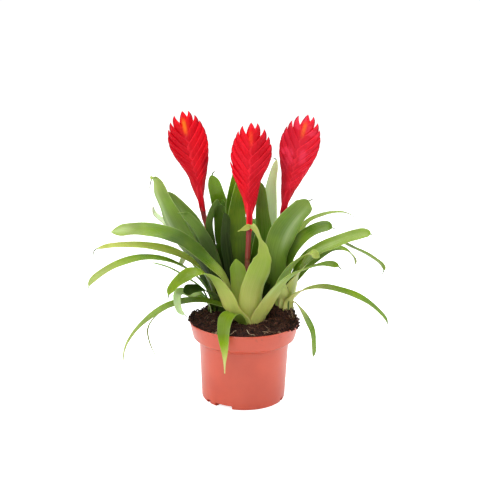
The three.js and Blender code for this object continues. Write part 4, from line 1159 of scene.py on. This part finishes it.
def sword_grids(which):
    """Around each bract, a runs from 0 at the outer keel to 1 at the inner free edge, along the
    front face and back along the rear one. The point is the keel plus a times the bract's
    depth, towards the axis, raised by the height of the face. With it come the numbers that
    the material reads."""
    stalk, neck = stalk_line(which)
    length = walk(stalk, [0])[2]
    rank, root, t, line = bract_keels()
    slant = np.radians(lerp(*BRACTS["slant"], rank[:, 0]) + 3 * np.sin(rank[:, 0] * 61))
    depth = bract_depths(line, slant[:, None])
    rank, root, line, depth, slant = with_bud(rank, root, t, line, depth, slant)
    a = 0.5 - 0.5 * np.cos(np.linspace(0, np.pi, BRACTS["cols"]))
    a, front = np.r_[a, a[::-1]], np.r_[np.ones(a.size), -np.ones(a.size)]
    inwards = np.stack([-np.cos(slant), -np.sin(slant)], -1)[:, None, None]
    flat = line[:, :, None] + inwards * (depth[..., None] * a)[..., None]
    height = root[:, :, None] + flat[..., 1] / SWORD_LENGTH
    along, across = t[None, :, None], a[None, None, :]
    is_bud = (slant == 0)[:, None, None]
    out_by = face_height(flat, height, along, across, is_bud) * front
    low = neck + (SWORD_GAP + SWORD_LENGTH * root[:, 0]) / length
    at, up, right, out = (part[:, None, None] for part in frame_at(stalk, low))
    side = np.where(np.arange(len(root)) % 2 == 1, 1, -1)[:, None, None]
    sideways = side * flat[..., 0] * lerp(WAIST[which], 1, smoothstep(height, 0.05, 0.6))
    points = (at + right * sideways[..., None] + up * flat[..., 1][..., None]
              + out * out_by[..., None])
    values = bract_numbers(which, height, sideways, along, across, depth, rank, is_bud)
    turned = side[:, 0, 0] < 0
    points[turned] = points[turned][:, :, ::-1]
    values = {label: np.where(turned[:, None, None], v[:, :, ::-1], v)
              for label, v in values.items()}
    return points, values


grid, values = sword_grids("middle")
print("a sword has", grid.shape[0] * grid.shape[1] * grid.shape[2], "points")

# %% Make the swords
GLOW = {"left": 1.0, "middle": 0.2, "right": 0.6}       # how strong the painted glow of light through its upper bracts is
PAINTED_SHEEN = {"left": 0.0, "middle": 0.12, "right": 0.8}       # how much pink painted sheen lies on it
sword_pieces = {}
for which in STALKS:
    grid, values = sword_grids(which)
    points, faces = tubes(grid)
    uv = np.stack([values["across"], values["along"]], -1).reshape(-1, 2)
    values["glow"] = np.full_like(values["along"], GLOW[which])
    values["painted_sheen"] = np.full_like(values["along"], PAINTED_SHEEN[which])
    sword_pieces[which] = make_piece(which + "_sword", points, faces, values, uv)
    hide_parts("bloom_" + which)
print("swords:", ", ".join(sword_pieces))

# %% [markdown]
# A bract is waxy and a pure warm red. It is a little deeper in the lower sword, and deeper
# still inside the overlap, which is painted shade under the bract below. It is lighter along its
# free edge, a painted highlight, and nearly crimson at the tip, and an orange painted glow near
# the top of the face stands for light shining through the bracts. Each sword carries its own
# numbers for that glow and for a pale pink painted sheen, so one material makes all three. The
# sheen is a soft wide pink laid into the colour.

# %% The bract material
def bract_skin():
    """Red that brightens up the sword, and towards its lit side as painted light, with a pink
    painted sheen, free edges lightened as a painted highlight, painted shade inside the overlap,
    crimson tips, painted shade along the lower edge of the shaded side, and an orange heart that
    is a painted glow."""
    skin = bpy.data.materials.new("bract_skin")
    skin.use_nodes = True
    tree = skin.node_tree
    shader = tree.nodes["Principled BSDF"]
    lines = use(tree, veins, Count=7.0, Wander=0.7, Stretch=2.5)
    skins = use(tree, clouds, Clouds=70.0, Grain=1600.0)
    along, across, height = (read(tree, label) for label in ("along", "across", "height"))
    tone = calc(tree, "ADD", calc(tree, "MULTIPLY", height, 0.5),
                calc(tree, "MULTIPLY", skins["Cloud"], 0.35))
    # Purer and lighter red towards the lit side: painted light.
    tone = calc(tree, "ADD", tone, calc(tree, "MULTIPLY", read(tree, "lit"), 0.65))
    colour = blend(tree, ramp(tree, tone, 0.2, 1.0), paint("#D00017"), paint("#FF0A20"))
    patch = calc(tree, "ADD", calc(tree, "MULTIPLY", lines["Streak"], 0.3),
                 calc(tree, "MULTIPLY", read(tree, "tint"), 0.3))
    colour = blend(tree, calc(tree, "MAXIMUM", patch, 0.0), colour, paint("#A00018"))
    # Painted shade inside the overlap, under the free edge of the bract below.
    colour = blend(tree, calc(tree, "MULTIPLY", read(tree, "inside"), 0.4), colour,
                   paint("#A80216"))
    # A pink painted sheen, fainter lower down the sword.
    painted_sheen = calc(tree, "MULTIPLY", read(tree, "painted_sheen"),
               ramp(tree, skins["Cloud"], 0.3, 0.7, 0.35, 1.0))
    painted_sheen = calc(tree, "MULTIPLY", painted_sheen, ramp(tree, height, 0.15, 0.55, 0.25, 1.0))
    colour = blend(tree, calc(tree, "MULTIPLY", painted_sheen, 0.6), colour, paint("#F04868"))
    # The lighter free edge is a painted highlight.
    free = ramp(tree, calc(tree, "ADD", across, calc(tree, "MULTIPLY", skins["Grain"], 0.1)),
                0.8, 1.04, 0.0, 0.45)
    colour = blend(tree, free, colour, paint("#F43C4A"))
    # Painted shade along the lower edge of the shaded side.
    colour = blend(tree, calc(tree, "MULTIPLY", read(tree, "painted_shade_side"), 0.65), colour,
                   paint("#8A0A1C"))
    tip = calc(tree, "MULTIPLY", ramp(tree, along, 0.55, 0.95), ramp(tree, across, 0.35, 0.0))
    colour = blend(tree, tip, colour, paint("#7C0E20"))
    # The orange heart is a painted glow: light shining through the upper bracts.
    heart = calc(tree, "MULTIPLY", ramp(tree, height, 0.66, 0.82),
                 ramp(tree, height, 0.94, 0.84))
    sideways = calc(tree, "ABSOLUTE", calc(tree, "SUBTRACT", read(tree, "sideways"), -0.4))
    heart = calc(tree, "MULTIPLY", heart, read(tree, "glow"))
    halo = calc(tree, "MULTIPLY", heart, ramp(tree, sideways, 7.5, 0.5, 0.0, 0.8))
    colour = blend(tree, halo, colour, paint("#F02A10"))
    core = calc(tree, "MULTIPLY", heart, ramp(tree, sideways, 3.2, 0.3, 0.0, 0.75))
    colour = blend(tree, core, colour, paint("#FF8A1E"))
    tree.links.new(colour, shader.inputs["Base Color"])
    tree.links.new(calc(tree, "ADD", calc(tree, "MULTIPLY", skins["Grain"], 0.12), 0.38),
                   shader.inputs["Roughness"])
    bump = add(tree, "Bump", {"Height": lines["Line"], "Strength": 0.3, "Distance": 0.0002})
    tree.links.new(bump.outputs[0], shader.inputs["Normal"])
    shader.inputs["Specular IOR Level"].default_value = 0.12
    shader.inputs["Subsurface Weight"].default_value = 0.1
    shader.inputs["Subsurface Radius"].default_value = (1.0, 0.15, 0.1)
    shader.inputs["Subsurface Scale"].default_value = 0.0015
    return skin


bract_red = bract_skin()
for piece in sword_pieces.values():
    piece.data.materials.append(bract_red)
print("material", bract_red.name)

# %% [markdown]
# ## The pot
# The nursery pot is moulded in one thin shot of plastic: a tapering body, a small ledge, a
# flared band below a rounded lip, and notches at the foot that let water out. It is a shape of
# revolution, so one profile is spun around. At the notches the profile steps inwards, and two
# columns of points at the same angle make the sharp sides. A boolean cut would do the same,
# but it leaves long thin faces that shade badly.

# %% The profile of the pot
POT = dict(foot=47.2, corner=2.5, notch_height=4.4, notch_depth=9, columns=150)
NOTCHES = [(242, 21), (2, 21), (122, 21), (215, 6), (335, 6), (95, 6)]     # angle, width
# The points below are radius and height: the ledge, band and lip, and the inside, 1.6 mm in.
BODY = [(50.3, 66.2), (50.6, 66.9), (51.4, 67.5), (56.6, 71.2), (57.3, 71.8), (57.6, 72.6),
        (59.4, 80), (61.35, 87.8), (61.5, 88.7), (61.45, 89.4), (61.1, 89.85), (60.6, 90),
        (60.1, 89.85), (59.85, 89.4), (59.9, 88.4)]
INSIDE = [(57.9, 80), (56.0, 72.4), (55.6, 71.9), (49.6, 67.6), (48.9, 66.6), (46.6, 6),
          (45.4, 3.4), (43, 2.6), (20, 2.6), (6, 2.6)]


def pot_profile():
    """Radius and height from the middle of the base, around the corner, up the outside, over
    the lip, and down the inside to the middle of the floor, and how far each row is recessed in
    a notch."""
    corner = np.radians(np.linspace(-90, 0, 7))
    foot = np.stack([POT["foot"] - POT["corner"] + POT["corner"] * np.cos(corner),
                     POT["corner"] + POT["corner"] * np.sin(corner)], -1)
    deep = POT["foot"] - POT["notch_depth"]
    base = np.array([(6, 1.2), (24, 1.2), (deep - 3, 1.2), (deep - 1.2, 0.4), (deep, 0)])
    rise = np.array([(POT["foot"] + 0.06, POT["notch_height"])])
    wall = np.stack([np.interp(np.linspace(5, 66, 26), [4.4, 66.2], [47.3, 50.3]),
                     np.linspace(5, 66, 26)], -1)
    rows = np.vstack([base, foot, rise, rise, wall, BODY, INSIDE])
    recess = np.zeros(len(rows), bool)
    recess[len(base):len(base) + len(foot) + 1] = True
    return rows, recess


def pot_angles():
    """Evenly spaced angles with two more at each side of each notch, and whether each column
    lies in a notch."""
    wide = {angle: np.degrees(np.arcsin(width / 2 / POT["foot"])) for angle, width in NOTCHES}
    even = np.arange(POT["columns"]) * 360 / POT["columns"] + 0.7
    inside = np.any([np.abs((even - at + 180) % 360 - 180) < w for at, w in wide.items()], 0)
    sides = np.array([at + sign * w for at, w in wide.items() for sign in (-1, 1)]) % 360
    angle = np.r_[even, sides, sides]
    notch = np.r_[inside, np.ones(sides.size, bool), np.zeros(sides.size, bool)]
    entering = np.tile([0, 1], len(NOTCHES))
    order = np.r_[np.full(even.size, 0.5), entering == 0, entering == 1].astype(float)
    keep = np.lexsort((order, np.round(angle, 6)))
    return angle[keep], notch[keep]


rows, recess = pot_profile()
angle, notch = pot_angles()
print("profile of", len(rows), "points, spun over", len(angle), "columns")

# %% Spin the pot
turn = np.radians(angle)
radius = np.broadcast_to(rows[:, 0][:, None], (len(rows), len(angle))).copy()
cut = recess[:, None] & notch[None]
radius[cut] = POT["foot"] - POT["notch_depth"]
height = np.broadcast_to(rows[:, 1][:, None], radius.shape)
pot_grid = np.stack([radius * np.cos(turn), radius * np.sin(turn), height], -1)
if pot_grid.shape[1] % 2:
    pot_grid = np.delete(pot_grid, np.flatnonzero(~notch)[-1], 1)
points, faces = tubes(pot_grid[None])
pot = make_piece("nursery_pot", points, faces)
pot.data.set_sharp_from_angle(angle=math.radians(32))
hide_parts("pot")
print("the pot has", len(faces), "faces")

# %% [markdown]
# Moulded polypropylene is evenly coloured, and very slightly see-through at the edges. Close up
# it has a fine leathery grain, faint rings from the mould, and here and there a smear of potting
# water and dust by the rim and the foot. Its polished skin mirrors a soft box over that grain,
# which a clear coat on the shader gives better than a low roughness alone.

# %% The pot material
def pot_plastic():
    """Terracotta-orange plastic under a clear skin, with fine grain, rings and a little dust."""
    skin = bpy.data.materials.new("pot_plastic")
    skin.use_nodes = True
    tree = skin.node_tree
    shader = tree.nodes["Principled BSDF"]
    skins = use(tree, clouds, Clouds=30.0, Grain=1300.0)
    where = add(tree, "TexCoord").outputs["Object"]
    high = add(tree, "SeparateXYZ", {0: where}).outputs[2]
    colour = blend(tree, skins["Cloud"], paint("#CE4C2A"), paint("#C44424"))
    speck = ramp(tree, skins["Grain"], 0.2, 0.9, 0.0, 0.08)
    colour = blend(tree, speck, colour, paint("#B84A34"))
    dust = add(tree, "TexNoise", {"Vector": where, "Scale": 240.0, "Detail": 4.0}).outputs[0]
    dusty = calc(tree, "ADD", ramp(tree, high, 0.074, 0.09), ramp(tree, high, 0.0, 0.012, 1.0, 0.0))
    dusty = calc(tree, "MULTIPLY", dusty, ramp(tree, dust, 0.56, 0.72, 0.0, 0.35))
    colour = blend(tree, dusty, colour, paint("#7A4030"))
    tree.links.new(colour, shader.inputs["Base Color"])
    tree.links.new(calc(tree, "ADD", calc(tree, "MULTIPLY", skins["Grain"], 0.12),
                        calc(tree, "ADD", calc(tree, "MULTIPLY", dusty, 0.6), 0.36)),
                   shader.inputs["Roughness"])
    rings = calc(tree, "SINE", calc(tree, "MULTIPLY", high, 2600.0))
    relief = calc(tree, "ADD", calc(tree, "MULTIPLY", rings, 0.12),
                  calc(tree, "MULTIPLY", skins["Grain"], 0.5))
    bump = add(tree, "Bump", {"Height": relief, "Strength": 0.25, "Distance": 0.0002})
    tree.links.new(bump.outputs[0], shader.inputs["Normal"])
    shader.inputs["Coat Weight"].default_value = 0.65
    shader.inputs["Coat Roughness"].default_value = 0.3
    shader.inputs["Subsurface Weight"].default_value = 0.08
    shader.inputs["Subsurface Radius"].default_value = (1.0, 0.4, 0.25)
    shader.inputs["Subsurface Scale"].default_value = 0.002
    return skin


pot.data.materials.append(pot_plastic())
print("material", pot.data.materials[0].name)

# %% [markdown]
# ## The potting soil
# Potting mix is peat, bark and coir: dark, crumbly and full of fibres. Its surface is a height
# over the plan: a low dome that is heaped along the rim, a mound round the right rosette, and
# bumps of three sizes. Loose crumbs are low stones with only twenty faces each, scattered and
# turned at random with a fixed seed, and thin roots and fibres lie over them. Displacement
# alone would give lumps without any loose edge.

# %% The surface of the soil
MOUND = (38, 14)
HEAP = 3.2                         # how far the edge is heaped up, except towards the front
seeds = np.random.default_rng(5)
bump_ways = seeds.normal(0, 1, (60, 2)) * np.repeat([0.12, 0.45, 1.1], 20)[:, None]
bump_turns = seeds.uniform(0, 2 * np.pi, 60)
bump_sizes = np.repeat([0.55, 0.32, 0.16], 20)


def soil_height(x, y):
    """The dome against the radius, heaped at the edge all round but for the front, the mound
    where it is higher, and sixty crossing waves of three sizes summed as bumps."""
    radius, off = np.hypot(x, y), np.hypot(x - MOUND[0], y - MOUND[1])
    dome = np.interp(radius, [0, 20, 40, 48, 56, 60], [94, 94, 93, 92, 89.6, 87.6])
    dome = dome + HEAP * smoothstep(radius, 44, 57) * smoothstep(y / (radius + 1), -0.85, -0.5)
    mound = np.interp(off, [0, 12, 17, 20, 23, 30], [105, 104.5, 101, 95, 89, 70])
    phase = x[..., None] * bump_ways[:, 0] + y[..., None] * bump_ways[:, 1] + bump_turns
    bumps = (np.sin(phase) * bump_sizes).sum(-1) * 0.5
    blend_by = smoothstep(mound - dome, -3, 3)
    return lerp(dome, mound, blend_by) + bumps


SOIL_COLUMNS = 220
turn = np.linspace(0, 2 * np.pi, SOIL_COLUMNS, endpoint=False)
ring = np.r_[np.linspace(2, 58.6, 64), 59.2]
x, y = ring[:, None] * np.cos(turn), ring[:, None] * np.sin(turn)
top = np.stack([x, y, soil_height(x, y)], -1)
under = [(58.6, 84.5), (56.6, 76), (55.2, 72.6), (30, 72.6), (2, 72.6)]
under = [np.stack([r * np.cos(turn), r * np.sin(turn), turn * 0 + z], -1) for r, z in under]
points, faces = tubes(np.vstack([top, under])[None])
soil = make_piece("potting_soil_bed", points, faces,
                  dict(shade=seeds.uniform(0, 1, len(points))))
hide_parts("soil")
print("the soil rises from", round(float(top[..., 2].min()), 1), "to",
      round(float(top[..., 2].max()), 1), "mm")

# %% Scatter the crumbs
GOLD = (1 + 5 ** 0.5) / 2
STONE = unit(np.array([(-1, GOLD, 0), (1, GOLD, 0), (-1, -GOLD, 0), (1, -GOLD, 0), (0, -1, GOLD),
                       (0, 1, GOLD), (0, -1, -GOLD), (0, 1, -GOLD), (GOLD, 0, -1), (GOLD, 0, 1),
                       (-GOLD, 0, -1), (-GOLD, 0, 1)], float))
STONE_FACES = np.array([(0, 11, 5), (0, 5, 1), (0, 1, 7), (0, 7, 10), (0, 10, 11), (1, 5, 9),
                        (5, 11, 4), (11, 10, 2), (10, 7, 6), (7, 1, 8), (3, 9, 4), (3, 4, 2),
                        (3, 2, 6), (3, 6, 8), (3, 8, 9), (4, 9, 5), (2, 4, 11), (6, 2, 10),
                        (8, 6, 7), (9, 8, 1)])


def random_turns(count):
    """Rotation matrices from random unit quaternions, so every direction is as likely."""
    w, x, y, z = unit(seeds.normal(0, 1, (count, 4))).T
    rows = [(1 - 2 * (y * y + z * z), 2 * (x * y - w * z), 2 * (x * z + w * y)),
            (2 * (x * y + w * z), 1 - 2 * (x * x + z * z), 2 * (y * z - w * x)),
            (2 * (x * z - w * y), 2 * (y * z + w * x), 1 - 2 * (x * x + y * y))]
    return np.stack([np.stack(row, -1) for row in rows], -2)


def crumbs(name, count, size, flat, ring, turn=(0, 360), pile=0.2):
    """Stones of twenty faces, squashed by flat along one axis, roughened and turned at random,
    between two radii and two angles, with their middles on the soil or up to pile above it."""
    place = np.radians(seeds.uniform(*turn, count))
    far = np.sqrt(seeds.uniform(ring[0] ** 2, ring[1] ** 2, count))
    x, y = far * np.cos(place), far * np.sin(place)
    stones = STONE * seeds.uniform(0.7, 1.25, (count, 12, 1)) \
        * (seeds.uniform(*size, (count, 1, 1)) * np.array(flat))
    stones = np.einsum("nij,nkj->nki", random_turns(count), stones)
    lift = 0.1 + seeds.uniform(0, pile, count) - 1.6 * smoothstep(far, 61.5, 64)
    stones += np.stack([x, y, soil_height(x, y) + lift], -1)[:, None]
    faces = (STONE_FACES[None] + np.arange(count)[:, None, None] * 12).reshape(-1, 3)
    shade = np.repeat(seeds.uniform(0, 1, count), 12)
    return make_piece(name, stones.reshape(-1, 3), faces, dict(shade=shade),
                      smooth=False)


soil_pieces = [soil, crumbs("soil_crumbs", 2500, (0.5, 1.5), (1, 0.8, 0.7), (0, 58.4)),
               crumbs("rim_crumbs", 520, (0.4, 1.1), (1, 0.8, 0.7), (57, 62), (-40, 220), 0.7),
               crumbs("right_clump", 110, (0.7, 1.5), (1, 0.8, 0.8), (57, 64), (-36, -14), 2.4),
               crumbs("left_clump", 260, (0.6, 1.3), (1, 0.8, 0.8), (57, 62.8), (150, 212), 1.6),
               crumbs("bark_chips", 260, (1.2, 2.6), (1, 0.55, 0.3), (0, 57))]
print("crumbs and chips:", sum(len(piece.data.polygons) for piece in soil_pieces[1:]), "faces")


# %% Fibres and thin roots
def fibres(name, x, y, heading, length, thick, rise, curl, steps=16, sides=6):
    """Each fibre starts at x, y and wanders over the soil: its heading turns steadily by curl,
    and its middle lifts off by rise. A small circle is swept along it."""
    s = np.linspace(0, 1, steps)
    angle = heading[:, None] + curl[:, None] * s + 0.5 * np.sin(7 * s + heading[:, None] * 3)
    step = length[:, None] / (steps - 1)
    px = x[:, None] + np.cumsum(np.cos(angle) * step, 1)
    py = y[:, None] + np.cumsum(np.sin(angle) * step, 1)
    far = np.hypot(px, py)
    draw_in = np.minimum(1, 60.5 / far)
    px, py = px * draw_in, py * draw_in
    pz = np.maximum(soil_height(px, py), np.where(far > 58, 90.1, 0)) + 0.25 \
        + rise[:, None] * np.sin(np.pi * s)
    line = np.stack([px, py, pz], -1)
    along = unit(np.gradient(line, axis=1))
    side = unit(np.cross(along, (0, 0, 1)))
    up = np.cross(side, along)
    turn = np.linspace(0, 2 * np.pi, sides, endpoint=False)[:, None]
    radius = (thick[:, None] * lerp(1, 0.4, s))[:, :, None, None]
    circle = side[:, :, None] * np.cos(turn) + up[:, :, None] * np.sin(turn)
    grid = line[:, :, None] + radius * circle
    points, faces = tubes(grid)
    shade = np.repeat(seeds.uniform(0, 1, len(x)), steps * sides)
    return make_piece(name, points, faces, dict(shade=shade))


def scattered(name, count, length, thick, rise, radius_to):
    """Fibres that start anywhere on the soil and head anywhere."""
    place = seeds.uniform(0, 2 * np.pi, count)
    far = np.sqrt(seeds.uniform(0, 1, count)) * radius_to
    heading = seeds.uniform(0, 2 * np.pi, count)
    return fibres(name, far * np.cos(place), far * np.sin(place), heading,
                  seeds.uniform(*length, count), seeds.uniform(*thick, count),
                  seeds.uniform(*rise, count), seeds.normal(0, 1.6, count))


dark_fibres = scattered("dark_fibres", 260, (5, 14), (0.14, 0.3), (0.1, 1.2), 56)
pale_fibres = scattered("pale_fibres", 60, (5, 13), (0.1, 0.2), (0.2, 1.5), 58)
ROOTS = np.array([(2, -45, -60, 15), (20, -40, -30, 6), (36, -42, -65, 6), (-30, -44, -110, 9),
                  (-8, -49, 200, 8), (28, -46, 170, 7)], float)     # from, heading, length
x, y, heading, length = ROOTS.T
each = np.ones(len(ROOTS))
pale_roots = fibres("pale_roots", x, y, np.radians(heading), length, each * 0.4, each * 0.8,
                    each * 0.5)
print("fibres:", sum(len(piece.data.polygons) for piece in (dark_fibres, pale_fibres, pale_roots)),
      "faces")

# %% [markdown]
# Wet peat is nearly black with a red-brown cast, bark is warmer, dry fibres are straw, and
# living root tips are cream. Each crumb carries one random number, and the material turns it
# into a tone, so three thousand crumbs need one material.

# %% Soil materials
def earth(name, dark, light, rough, relief):
    """Two browns chosen by each crumb's own number and by noise, fully matt."""
    skin = bpy.data.materials.new(name)
    skin.use_nodes = True
    tree = skin.node_tree
    shader = tree.nodes["Principled BSDF"]
    skins = use(tree, clouds, Clouds=120.0, Grain=700.0)
    tone = calc(tree, "ADD", calc(tree, "MULTIPLY", read(tree, "shade"), 0.6),
                calc(tree, "MULTIPLY", skins["Grain"], 0.4))
    tree.links.new(blend(tree, ramp(tree, tone, 0.15, 0.95), paint(dark), paint(light)),
                   shader.inputs["Base Color"])
    tree.links.new(calc(tree, "ADD", calc(tree, "MULTIPLY", skins["Cloud"], 0.15), rough),
                   shader.inputs["Roughness"])
    bump = add(tree, "Bump", {"Height": skins["Grain"], "Strength": 0.8, "Distance": relief})
    tree.links.new(bump.outputs[0], shader.inputs["Normal"])
    shader.inputs["Specular IOR Level"].default_value = 0.2
    return skin


peat = earth("wet_peat", "#120A08", "#4E2C20", 0.7, 0.0008)
for piece in soil_pieces[:-1]:
    piece.data.materials.append(peat)
soil_pieces[-1].data.materials.append(earth("bark", "#2A1612", "#6A4232", 0.6, 0.0005))
dark_fibres.data.materials.append(earth("coir", "#2C1812", "#7A4C34", 0.6, 0.0002))
pale_fibres.data.materials.append(earth("dry_fibre", "#A8805C", "#DCC49C", 0.6, 0.0001))
pale_roots.data.materials.append(earth("root_skin", "#AC9070", "#E0CCAA", 0.5, 0.0001))
print("soil materials made")
